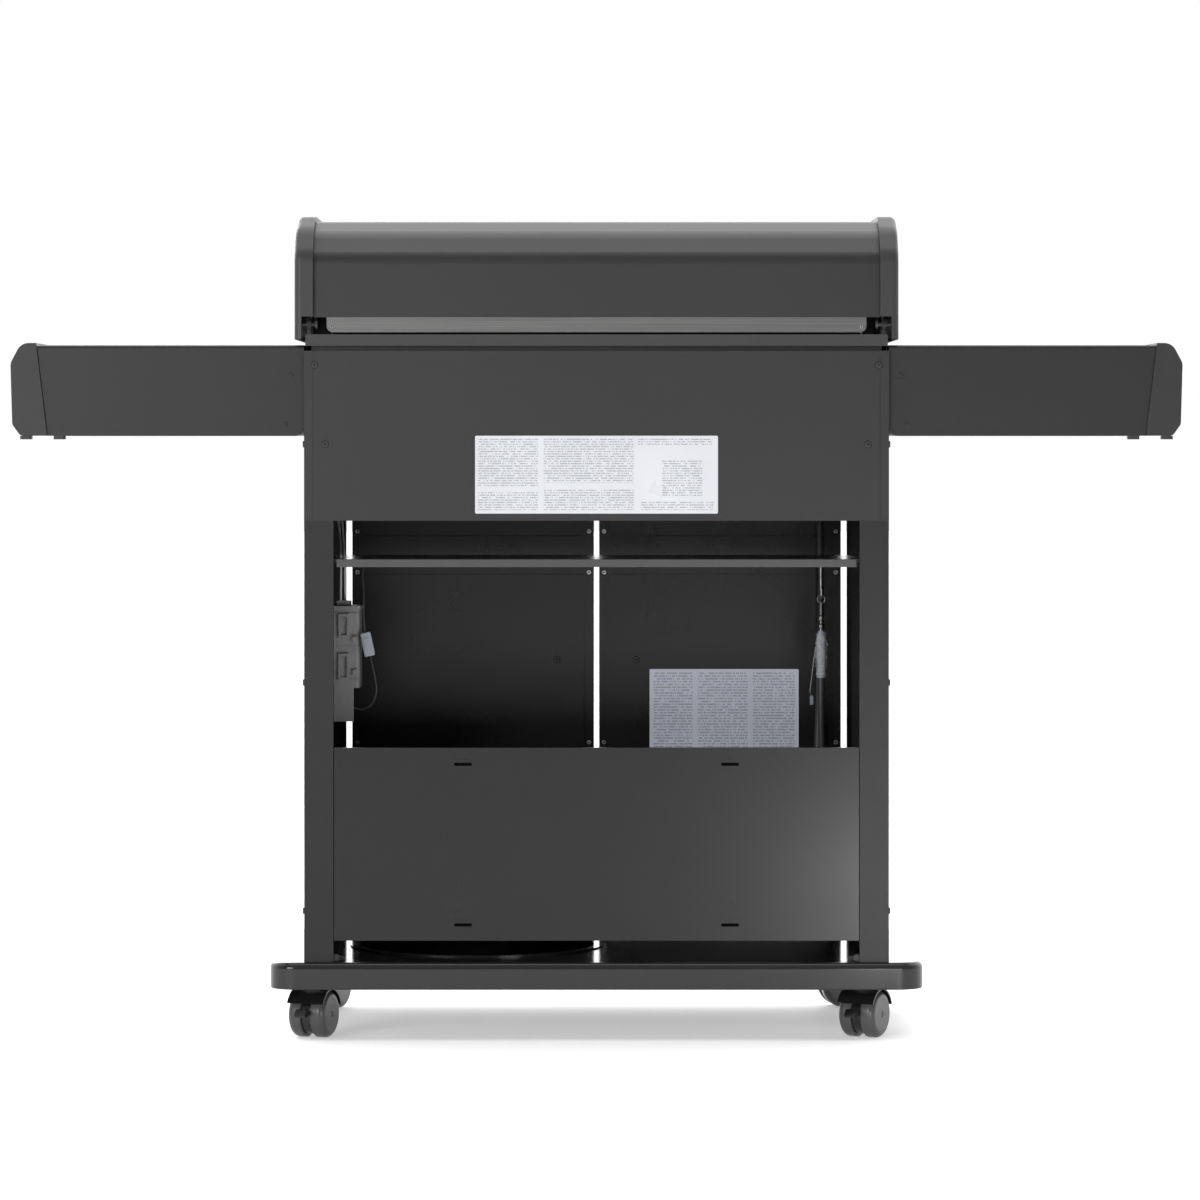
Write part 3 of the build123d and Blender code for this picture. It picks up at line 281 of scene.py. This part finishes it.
def film_finish():
    """Thin clear wrapping film with sharp creases."""
    material, tree, shader, place = finish_start("wrapping film", (0.8, 0.8, 0.8), 0.14)
    folds = wired(
        tree, "ShaderNodeTexNoise", {"Scale": 150, "Detail": 3, "Distortion": 1.6}, {"Vector": place}
    )
    creases = wired(tree, "ShaderNodeMapRange", {1: 0.42, 2: 0.62, 3: 0.04, 4: 0.42}, {0: folds.outputs[0]})
    tree.links.new(creases.outputs[0], shader.inputs["Alpha"])
    bump = wired(tree, "ShaderNodeBump", {"Strength": 0.8, "Distance": 0.002}, {"Height": folds.outputs[0]})
    tree.links.new(bump.outputs[0], shader.inputs["Normal"])
    return material


wrapping_film = film_finish()


def math_step(tree, operation, *operands):
    """One maths node; each operand is a socket or a number."""
    node = tree.nodes.new("ShaderNodeMath")
    node.operation = operation
    for place, operand in enumerate(operands):
        if isinstance(operand, (int, float)):
            node.inputs[place].default_value = operand
        else:
            tree.links.new(operand, node.inputs[place])
    return node.outputs[0]


def within(tree, value, low, high):
    """1 where value is between low and high."""
    above = math_step(tree, "GREATER_THAN", value, low)
    below = math_step(tree, "LESS_THAN", value, high)
    return math_step(tree, "MULTIPLY", above, below)


def printed(name, paper, ink, centre_x, top_z, columns, row_pitch, roughness):
    """A printed label of unreadable rows: dashes of ink in columns.
    Columns are (left, right, first row's depth, last row's depth) from the label's top left, in metres."""
    material, tree, shader, place = finish_start(name, paper, roughness)
    axes = wired(tree, "ShaderNodeSeparateXYZ", links={0: place})
    along = math_step(tree, "SUBTRACT", centre_x, axes.outputs["X"])
    down = math_step(tree, "SUBTRACT", top_z, axes.outputs["Z"])
    row = math_step(tree, "FLOOR", math_step(tree, "DIVIDE", down, row_pitch))
    in_row = math_step(tree, "FRACT", math_step(tree, "DIVIDE", down, row_pitch))
    letter = math_step(tree, "FLOOR", math_step(tree, "DIVIDE", along, row_pitch * 0.36))
    spot = wired(tree, "ShaderNodeCombineXYZ", links={0: letter, 1: row})
    chance = wired(tree, "ShaderNodeTexWhiteNoise", links={0: spot.outputs[0]}, noise_dimensions="2D")
    inked = math_step(tree, "LESS_THAN", chance.outputs[0], 0.7)
    body = math_step(tree, "MULTIPLY", within(tree, in_row, 0.25, 0.72), inked)
    ink_mask = None
    for left, right, first, last in columns:
        column = within(tree, along, left, right)
        patch = math_step(tree, "MULTIPLY", column, within(tree, down, first, last))
        dashes = math_step(tree, "MULTIPLY", patch, body)
        ink_mask = dashes if ink_mask is None else math_step(tree, "MAXIMUM", ink_mask, dashes)
    mix = wired(
        tree, "ShaderNodeMix", {6: (*paper, 1), 7: (*ink, 1)},
        {0: math_step(tree, "MULTIPLY", ink_mask, 0.5)}, data_type="RGBA",
    )
    drift = wired(tree, "ShaderNodeTexNoise", {"Scale": 9, "Detail": 3}, {"Vector": place})
    shade = wired(tree, "ShaderNodeMapRange", {1: 0.3, 2: 0.7, 3: 0.93, 4: 1.0}, {0: drift.outputs[0]})
    toned = wired(
        tree, "ShaderNodeMix", {0: 1.0}, {6: mix.outputs[2], 7: shade.outputs[0]},
        data_type="RGBA", blend_type="MULTIPLY",
    )
    tree.links.new(toned.outputs[2], shader.inputs["Base Color"])
    grain(tree, shader, place, 90, 0.06, 0.0006)
    sheen_drift(tree, shader, place, roughness * 0.8, roughness * 1.2, 12)
    return material


plate_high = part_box("rating_plate")[1]
plate_print = printed(
    "rating plate print", (0.54, 0.55, 0.575), (0.06, 0.06, 0.08), plate_high.x, plate_high.z,
    (
        (0.004, 0.088, 0.004, 0.072), (0.004, 0.088, 0.078, 0.104), (0.096, 0.222, 0.004, 0.066),
        (0.096, 0.222, 0.074, 0.104), (0.228, 0.332, 0.003, 0.014), (0.262, 0.318, 0.034, 0.086),
        (0.232, 0.334, 0.092, 0.104),
    ),
    0.0034, 0.3,
)
card_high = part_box("safety_card")[1]
card_print = printed(
    "safety card print", (0.78, 0.8, 0.94), (0.1, 0.11, 0.17), card_high.x, card_high.z,
    (
        (0.006, 0.064, 0.005, 0.146), (0.072, 0.146, 0.005, 0.146), (0.154, 0.216, 0.005, 0.146),
    ),
    0.0042, 0.35,
)

FINISH_OF = {
    lid_coat: ["lid_skin"],
    cabinet_coat: ["rear_upper_panel", "front_rail", "control_panel"],
    post_coat: ["right_side_panel", "left_side_panel"],
    shelf_coat: ["right_shelf", "left_shelf"],
    lower_coat: ["rear_lower_panel"],
    base_coat: ["base_shelf", "cylinder_well"],
    shield_coat: ["heat_shield"],
    cast_coat: ["lid_right_end", "lid_left_end"],
    cap_plastic: ["shelf_end_caps"],
    firebox_coat: ["firebox"],
    door_enamel: ["right_door", "left_door"],
    steel_along: ["rear_baffle", "lid_handle", "lid_thermometer", "warming_rack"],
    steel_upright: ["right_door_handle", "left_door_handle"],
    steel_tube: ["burners", "flame_tamers"],
    cast_iron: ["cooking_grids"],
    zinc: ["caster_plates", "gas_manifold", "hose_hook", "door_brackets", "grease_tray"],
    brass: ["burner_valves"],
    dull_fitting: ["hose_end_fitting"],
    black_plastic: [
        "knob_bezels", "igniter_button", "knob_1", "knob_2", "knob_3", "knob_4", "cabinet_screws",
        "shelf_feet",
    ],
    black_and_recess_shade: ["hinge_lugs"],
    grey_plastic: ["battery_box"],
    pale_plastic: ["igniter_connector", "hose_end_sleeve"],
    lead_rubber: ["igniter_leads"],
    plate_print: ["rating_plate"],
    card_print: ["safety_card"],
}
for finish, dressed in FINISH_OF.items():
    for name in dressed:
        nodes[name].data.materials.clear()
        nodes[name].data.materials.append(finish)
for name, node in nodes.items():
    if name.startswith("caster_") and name != "caster_plates":
        node.data.materials.clear()
        node.data.materials.append(tread if name.endswith("wheels") else hood_gloss)

# ---------------------------------------------------------------- gas hose

HOSE_ROUTE = (
    (-0.331, -0.145, 0.750), (-0.332, -0.143, 0.670), (-0.333, -0.138, 0.590), (-0.332, -0.141, 0.500),
    (-0.329, -0.146, 0.415), (-0.327, -0.137, 0.338), (-0.327, -0.102, 0.282), (-0.328, -0.050, 0.264),
    (-0.329, -0.002, 0.290), (-0.328, 0.026, 0.350), (-0.326, 0.030, 0.425), (-0.326, 0.030, 0.495),
)
hose_line = bpy.data.curves.new("gas_hose_line", "CURVE")
hose_line.dimensions = "3D"
hose_line.bevel_depth = 0.005
hose_line.bevel_resolution = 6
hose_line.resolution_u = 12
hose_line.use_fill_caps = True
run = hose_line.splines.new("NURBS")
run.points.add(len(HOSE_ROUTE) - 1)
for point, where in zip(run.points, HOSE_ROUTE):
    point.co = (*where, 1)
run.order_u = 3
run.use_endpoint_u = True
hose_line.materials.append(hose_rubber)
hose = bpy.data.objects.new("hanging_gas_hose", hose_line)
bpy.context.collection.objects.link(hose)

# ---------------------------------------------------------------- small pieces


def finished_mesh(name, build, finish, body, smooth=False):
    """Makes a mesh piece from a bmesh recipe, dressed, and riding on its body."""
    shape = bmesh.new()
    build(shape)
    bmesh.ops.recalc_face_normals(shape, faces=shape.faces)
    mesh = bpy.data.meshes.new(name)
    shape.to_mesh(mesh)
    shape.free()
    mesh.materials.append(finish)
    if smooth:
        mesh.polygons.foreach_set("use_smooth", [True] * len(mesh.polygons))
    piece = bpy.data.objects.new(name, mesh)
    bpy.context.collection.objects.link(piece)
    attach(piece, body)


def block(shape, low, high):
    """A box between two corners, its edges eased a little."""
    low, high = Vector(low), Vector(high)
    made = bmesh.ops.create_cube(shape, size=1)["verts"]
    for vert in made:
        vert.co = Vector(
            (low[axis] + (high[axis] - low[axis]) * (vert.co[axis] + 0.5) for axis in range(3))
        )
    edges = {edge for vert in made for edge in vert.link_edges}
    bmesh.ops.bevel(shape, geom=list(edges), offset=min(high - low) * 0.2, segments=2, affect="EDGES")


def rod(shape, points, radius, sides=10):
    """A closed round rod through a few points."""
    rings = []
    for index, point in enumerate(points):
        before = Vector(points[max(0, index - 1)])
        after = Vector(points[min(len(points) - 1, index + 1)])
        turn = (after - before).to_track_quat("Z", "X").to_matrix()
        ring = []
        for side in range(sides):
            angle = math.tau * side / sides
            spoke = Vector((math.cos(angle), math.sin(angle), 0)) * radius
            ring.append(shape.verts.new(Vector(point) + turn @ spoke))
        rings.append(ring)
    for lower, upper in zip(rings, rings[1:]):
        for side in range(sides):
            following = (side + 1) % sides
            shape.faces.new((lower[side], lower[following], upper[following], upper[side]))
    shape.faces.new(rings[0])
    shape.faces.new(rings[-1])


# crinkled film round the hose's end sleeve, with its twist tie and tag
sleeve_low, sleeve_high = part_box("hose_end_sleeve")
sleeve_mid = (sleeve_low + sleeve_high) / 2


WRAP_RINGS = 30
WRAP_SIDES = 28


def crinkled_wrap(shape):
    """A tube of film, gathered in at both ends."""
    rings = []
    for step in range(WRAP_RINGS):
        height = sleeve_low.z + 0.003 + (sleeve_high.z - sleeve_low.z - 0.006) * step / (WRAP_RINGS - 1)
        gather = 1 - 0.25 * math.exp(-((step - 3) ** 2) / 6) - 0.25 * math.exp(-((step - 27) ** 2) / 6)
        ring = []
        for side in range(WRAP_SIDES):
            angle = math.tau * side / WRAP_SIDES
            radius = 0.0084 * gather + random.uniform(-0.0006, 0.0009)
            across = sleeve_mid.x + radius * math.cos(angle)
            ring.append(shape.verts.new((across, sleeve_mid.y + radius * math.sin(angle), height)))
        rings.append(ring)
    for lower, upper in zip(rings, rings[1:]):
        for side in range(WRAP_SIDES):
            following = (side + 1) % WRAP_SIDES
            shape.faces.new((lower[side], lower[following], upper[following], upper[side]))
    shape.faces.new(rings[0])
    shape.faces.new(rings[-1])


finished_mesh("sleeve_wrap", crinkled_wrap, wrapping_film, "cabinet")


def tie_and_tag(shape):
    """A wire tie hanging from the sleeve, with a small tag at its end."""
    rod(
        shape,
        [
            (sleeve_mid.x + 0.008, sleeve_mid.y + 0.004, 0.540),
            (sleeve_mid.x + 0.011, sleeve_mid.y + 0.006, 0.522),
            (sleeve_mid.x + 0.0135, sleeve_mid.y + 0.005, 0.500),
            (sleeve_mid.x + 0.0165, sleeve_mid.y + 0.005, 0.476),
            (sleeve_mid.x + 0.0145, sleeve_mid.y + 0.005, 0.468),
        ],
        0.0007, 8,
    )
    block(
        shape,
        (sleeve_mid.x + 0.0115, sleeve_mid.y + 0.003, 0.456),
        (sleeve_mid.x + 0.0165, sleeve_mid.y + 0.0055, 0.469),
    )


finished_mesh("twist_tie", tie_and_tag, pale_plastic, "cabinet")

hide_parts("gas_hose")
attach(hose, "cabinet")


# ---------------------------------------------------------------- repeated pieces, by geometry nodes


def new_tree(name, inputs):
    """An empty geometry tree with named inputs, and its group input and output."""
    tree = bpy.data.node_groups.new(name, "GeometryNodeTree")
    tree.interface.new_socket("Geometry", in_out="INPUT", socket_type="NodeSocketGeometry")
    for label, kind in inputs:
        tree.interface.new_socket(label, in_out="INPUT", socket_type="NodeSocket" + kind)
    tree.interface.new_socket("Geometry", in_out="OUTPUT", socket_type="NodeSocketGeometry")
    return tree, tree.nodes.new("NodeGroupInput"), tree.nodes.new("NodeGroupOutput")


def screw_tree():
    """Domed heads, one at each point, turned to face the point's 'facing'; the cross recess is a thin flat
    cross laid on top in a dark finish, painted shade for the recess.
    """
    tree, given, made = new_tree(
        "screw heads",
        [("Head radius", "Float"), ("Head height", "Float"), ("Recess width", "Float"),
         ("Head finish", "Material"), ("Painted recess shade", "Material")],
    )
    head_radius = given.outputs["Head radius"]
    slot_width = given.outputs["Recess width"]
    narrow = wired(tree, "ShaderNodeMath", {1: 0.78}, {0: head_radius}, operation="MULTIPLY")
    dome = wired(
        tree, "GeometryNodeMeshCone", {"Vertices": 20, "Side Segments": 2},
        {"Radius Top": narrow.outputs[0], "Radius Bottom": head_radius,
         "Depth": given.outputs["Head height"]},
    )
    bar_length = wired(tree, "ShaderNodeMath", {1: 1.1}, {0: head_radius}, operation="MULTIPLY").outputs[0]
    long_bar = wired(tree, "ShaderNodeCombineXYZ", {2: 0.0003}, {0: bar_length, 1: slot_width})
    cross_bar = wired(tree, "ShaderNodeCombineXYZ", {2: 0.0003}, {1: bar_length, 0: slot_width})
    both = wired(tree, "GeometryNodeJoinGeometry")
    for size in (long_bar, cross_bar):
        bar = wired(tree, "GeometryNodeMeshCube", links={"Size": size.outputs[0]})
        tree.links.new(bar.outputs["Mesh"], both.inputs[0])
    top = wired(tree, "ShaderNodeCombineXYZ", links={2: given.outputs["Head height"]})
    raised = wired(
        tree, "GeometryNodeTransform", links={"Geometry": both.outputs[0], "Translation": top.outputs[0]}
    )
    # the cross is marked to take the dark finish: painted shade where the recess would be
    marked = wired(
        tree, "GeometryNodeStoreNamedAttribute", {"Name": "recess", "Value": True},
        {"Geometry": raised.outputs[0]}, data_type="BOOLEAN", domain="FACE",
    )
    head = wired(tree, "GeometryNodeJoinGeometry")
    tree.links.new(dome.outputs["Mesh"], head.inputs[0])
    tree.links.new(marked.outputs[0], head.inputs[0])
    facing = wired(tree, "GeometryNodeInputNamedAttribute", {"Name": "facing"}, data_type="FLOAT_VECTOR")
    turned = wired(tree, "FunctionNodeAlignRotationToVector", links={"Vector": facing.outputs[0]}, axis="Z")
    placed = wired(
        tree, "GeometryNodeInstanceOnPoints",
        links={"Points": given.outputs["Geometry"], "Instance": head.outputs[0],
               "Rotation": turned.outputs[0]},
    )
    real = wired(tree, "GeometryNodeRealizeInstances", links={"Geometry": placed.outputs[0]})
    plain = wired(
        tree, "GeometryNodeSetMaterial",
        links={"Geometry": real.outputs[0], "Material": given.outputs["Head finish"]},
    )
    is_recess = wired(tree, "GeometryNodeInputNamedAttribute", {"Name": "recess"}, data_type="BOOLEAN")
    dark = wired(
        tree, "GeometryNodeSetMaterial",
        links={"Geometry": plain.outputs[0], "Selection": is_recess.outputs[0],
               "Material": given.outputs["Painted recess shade"]},
    )
    tree.links.new(dark.outputs[0], made.inputs[0])
    return tree


def dial_tree():
    """Tick marks round a dial, laid on a tilted face."""
    tree, given, made = new_tree(
        "dial ticks",
        [("Ticks", "Int"), ("Ring radius", "Float"), ("Tick length", "Float"), ("Tick width", "Float"),
         ("Centre", "Vector"), ("Tilt", "Vector"), ("Finish", "Material")],
    )
    ring = wired(
        tree, "GeometryNodeMeshCircle",
        links={"Vertices": given.outputs["Ticks"], "Radius": given.outputs["Ring radius"]},
    )
    size = wired(
        tree, "ShaderNodeCombineXYZ", {2: 0.0003},
        {0: given.outputs["Tick length"], 1: given.outputs["Tick width"]},
    )
    tick = wired(tree, "GeometryNodeMeshCube", links={"Size": size.outputs[0]})
    where = wired(tree, "GeometryNodeInputPosition")
    outward = wired(tree, "FunctionNodeAlignRotationToVector", links={"Vector": where.outputs[0]}, axis="X")
    placed = wired(
        tree, "GeometryNodeInstanceOnPoints",
        links={"Points": ring.outputs[0], "Instance": tick.outputs["Mesh"], "Rotation": outward.outputs[0]},
    )
    laid = wired(
        tree, "GeometryNodeTransform",
        links={"Geometry": placed.outputs[0], "Translation": given.outputs["Centre"],
               "Rotation": given.outputs["Tilt"]},
    )
    real = wired(tree, "GeometryNodeRealizeInstances", links={"Geometry": laid.outputs[0]})
    dressed = wired(
        tree, "GeometryNodeSetMaterial",
        links={"Geometry": real.outputs[0], "Material": given.outputs["Finish"]},
    )
    tree.links.new(dressed.outputs[0], made.inputs[0])
    return tree


def grown(name, tree, settings, body, points=(), facing=None):
    """Runs a tree on a cloud of points and keeps the result as a plain mesh riding on its body."""
    cloud = bpy.data.meshes.new(name + "_points")
    cloud.from_pydata([tuple(point) for point in points], [], [])
    if facing is not None:
        directions = cloud.attributes.new("facing", "FLOAT_VECTOR", "POINT")
        for index, direction in enumerate(facing):
            directions.data[index].vector = direction
    seed = bpy.data.objects.new(name + "_seed", cloud)
    bpy.context.collection.objects.link(seed)
    modifier = seed.modifiers.new("grow", "NODES")
    modifier.node_group = tree
    for item in tree.interface.items_tree:
        if item.in_out == "INPUT" and item.name in settings:
            modifier[item.identifier] = settings[item.name]
    view = bpy.context.evaluated_depsgraph_get()
    mesh = bpy.data.meshes.new_from_object(seed.evaluated_get(view))
    mesh.name = name
    piece = bpy.data.objects.new(name, mesh)
    bpy.context.collection.objects.link(piece)
    bpy.data.objects.remove(seed)
    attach(piece, body)


SCREW_HEADS = screw_tree()
DIAL_TICKS = dial_tree()


def screws(name, body, points, facing, radius, height, width, finish):
    """One set of screw heads; facing is one direction for all, or a list of them."""
    grown(
        name, SCREW_HEADS,
        {"Head radius": radius, "Head height": height, "Recess width": width, "Head finish": finish,
         "Painted recess shade": black_and_recess_shade},
        body, points, [facing] * len(points) if isinstance(facing, tuple) else facing,
    )


REARWARD = (0, 1, 0)
LINER_Y = -0.169
RAISED_Y = -0.166
for side, body in ((1, "right_door"), (-1, "left_door")):
    screws(
        body + "_liner_screws", body,
        [(side * x, LINER_Y, z) for x in (0.0112, 0.3562) for z in (0.704, 0.643, 0.39, 0.135)],
        REARWARD, 0.0036, 0.0014, 0.0009, zinc,
    )
    screws(
        body + "_handle_screws", body, [(side * 0.059, RAISED_Y, z) for z in (0.513, 0.661)],
        REARWARD, 0.0052, 0.0022, 0.0016, black_plastic,
    )

SOCKET_Y = REAR_PLANE + PANEL_THICK + 0.0023
heads = [(x, SOCKET_Y, z) for x, z in ((-0.38, 0.834), (0.38, 0.834), (-0.395, 0.945), (0.395, 0.945))]
screws("panel_screw_sockets", "cabinet", heads, REARWARD, 0.0038, 0.0004, 0.0013, black_plastic)
SHELF_SOCKETS = ((-0.428, 0.931), (-0.436, 0.862), (0.428, 0.931), (0.436, 0.862))
screws(
    "shelf_screw_sockets", "cabinet", [(x, SHELF_REAR + 0.0015, z) for x, z in SHELF_SOCKETS],
    REARWARD, 0.0024, 0.0004, 0.0008, black_plastic,
)
screws(
    "baffle_screws", "lid", [(x, 0.2914, 0.9985) for x in (-0.371, 0.371)], REARWARD,
    0.0022, 0.001, 0.0007, zinc,
)
screws(
    "hinge_screws", "cabinet", [(side * 0.4025, 0.2968, 0.9935) for side in (-1, 1)], REARWARD,
    0.0022, 0.0009, 0.0007, black_plastic,
)

# flame ports along both sides of each burner: flat near-black dots, painted shade for the holes
BURNER_RADIUS = 0.0122
BURNER_Z = 0.864
PORT_LEAN = math.radians(35)
ports = []
port_facing = []
for x in BURNER_X:
    for side in (-1, 1):
        outward = (side * math.cos(PORT_LEAN), 0, math.sin(PORT_LEAN))
        for step in range(36):
            along = -0.14 + step * 0.0105
            ports.append((x + outward[0] * BURNER_RADIUS, along, BURNER_Z + outward[2] * BURNER_RADIUS))
            port_facing.append(outward)
grown(
    "burner_ports", SCREW_HEADS,
    {"Head radius": 0.0016, "Head height": 0.0004, "Recess width": 0.0001, "Head finish": black_and_recess_shade,
     "Painted recess shade": black_and_recess_shade},
    "cabinet", ports, port_facing,
)

TILT = math.radians(7.3)
FACE_OUT = Vector((0, -math.cos(TILT), math.sin(TILT)))
FACE_UP = Vector((0, math.sin(TILT), math.cos(TILT)))
TILT_TURN = (math.radians(90) - TILT, 0, 0)
for number, x in enumerate(BURNER_X, 1):
    hub = Vector((x, -0.2537, 0.880))
    grown(
        f"knob_{number}_scale", DIAL_TICKS,
        {"Ticks": 12, "Ring radius": 0.0275, "Tick length": 0.003, "Tick width": 0.0009,
         "Centre": tuple(hub + FACE_OUT * 0.0041), "Tilt": TILT_TURN, "Finish": mark_white},
        "cabinet",
    )

    def pointer(shape, hub=hub):
        near = hub + FACE_OUT * 0.0312 + FACE_UP * 0.004
        far = hub + FACE_OUT * 0.0312 + FACE_UP * 0.0165
        rod(shape, [near, far], 0.0008, 8)

    finished_mesh(f"knob_{number}_pointer", pointer, mark_white, f"knob_{number}")

# thermometer face
LID_OUT = Vector((0, -113, 60)).normalized()
LID_UP = Vector((0, 60, 113)).normalized()
dial_centre = Vector((0, -0.1896, 1.0604)) + LID_OUT * 0.0067
dial_turn = LID_OUT.to_track_quat("Z", "Y").to_euler()
grown(
    "thermometer_ticks", DIAL_TICKS,
    {"Ticks": 24, "Ring radius": 0.0235, "Tick length": 0.0032, "Tick width": 0.0007,
     "Centre": tuple(dial_centre + LID_OUT * 0.0004), "Tilt": tuple(dial_turn), "Finish": black_and_recess_shade},
    "lid",
)


def dial_face(shape):
    """The pale disc of the thermometer."""
    radius = 0.0272
    made = bmesh.ops.create_cone(
        shape, segments=48, radius1=radius, radius2=radius, depth=0.0006, cap_ends=True
    )
    turn = dial_turn.to_matrix()
    for vert in made["verts"]:
        vert.co = dial_centre + turn @ vert.co


def dial_needle(shape):
    """The needle, resting at the cold end."""
    pivot = dial_centre + LID_OUT * 0.0009
    towards = LID_UP * -0.8 + Vector((0.6, 0, 0))
    rod(shape, [pivot, pivot + towards * 0.019], 0.0006, 8)


finished_mesh("thermometer_face", dial_face, mark_white, "lid")
finished_mesh("thermometer_needle", dial_needle, black_and_recess_shade, "lid")


def foot_clips(shape):
    """Clips that hold the lower panel's feet."""
    for side in (-1, 1):
        block(shape, (side * 0.366 - 0.006, 0.272, 0.1095), (side * 0.366 + 0.006, 0.288, 0.1185))
        block(shape, (side * 0.358 - 0.004, 0.268, 0.1095), (side * 0.358 + 0.004, 0.276, 0.1145))


finished_mesh("foot_clips", foot_clips, black_plastic, "cabinet")


def slot_tongues(shape):
    """Near-black, barely reflecting blocks set just behind the face of the lower panel's four slots: painted
    shade for the dark inside the slots.
    """
    for x in (-0.187, 0.187):
        for z in (0.161, 0.386):
            block(shape, (x - 0.014, 0.2878, z - 0.006), (x + 0.014, 0.2902, z + 0.006))


finished_mesh("slot_tongues", slot_tongues, slot_shade, "cabinet")


def box_ribs(shape):
    """Ribs across the battery box, and its two hinge knuckles."""
    for height in (0.4985, 0.545, 0.5925):
        block(shape, (0.3365, 0.1885, height), (0.4055, 0.1905, height + 0.0025))
    block(shape, (0.3385, 0.1888, 0.552), (0.347, 0.1942, 0.562))
    block(shape, (0.3385, 0.1888, 0.505), (0.347, 0.1942, 0.515))


finished_mesh("battery_box_ribs", box_ribs, grey_plastic, "cabinet")


# axle ends of the casters
WHEEL_RADIUS = 0.033
CASTER_TRAIL = 0.026
AXLE_INNER = 0.0262
AXLE_OUTER = 0.0271
AXLE_RADIUS = 0.0034
for corner, x, y, heading in (
    ("rear_right", 0.389, 0.229, 20), ("rear_left", -0.389, 0.229, 27),
    ("front_right", 0.389, -0.150, 22), ("front_left", -0.389, -0.150, 80),
):
    trail = Vector((math.sin(math.radians(heading)), math.cos(math.radians(heading)), 0))
    axle = Vector((trail.y, -trail.x, 0))
    centre = Vector((x, y, WHEEL_RADIUS)) + trail * CASTER_TRAIL

    def axle_ends(shape, axle=axle, centre=centre):
        for end in (-1, 1):
            ends = [centre + axle * end * AXLE_INNER, centre + axle * end * AXLE_OUTER]
            rod(shape, ends, AXLE_RADIUS, 16)

    finished_mesh(f"{corner}_axle_ends", axle_ends, black_plastic, f"caster_{corner}")

# ---------------------------------------------------------------- floor

floor_finish, floor_tree, floor_shader, floor_place = finish_start("pale floor", (0.93, 0.93, 0.93), 0.6)
tint(floor_tree, floor_shader, floor_place, (0.915, 0.915, 0.915), (0.945, 0.945, 0.945), 0.6)
grain(floor_tree, floor_shader, floor_place, 60, 0.02, 0.001)
floor_shader.inputs["Emission Color"].default_value = (1, 1, 1, 1)
floor_shader.inputs["Emission Strength"].default_value = 0.33
floor_mesh = bpy.data.meshes.new("floor")
floor_mesh.from_pydata([(-30, -40, 0), (30, -40, 0), (30, 30, 0), (-30, 30, 0)], [], [(0, 1, 2, 3)])
floor_mesh.materials.append(floor_finish)
floor = bpy.data.objects.new("floor", floor_mesh)
bpy.context.collection.objects.link(floor)
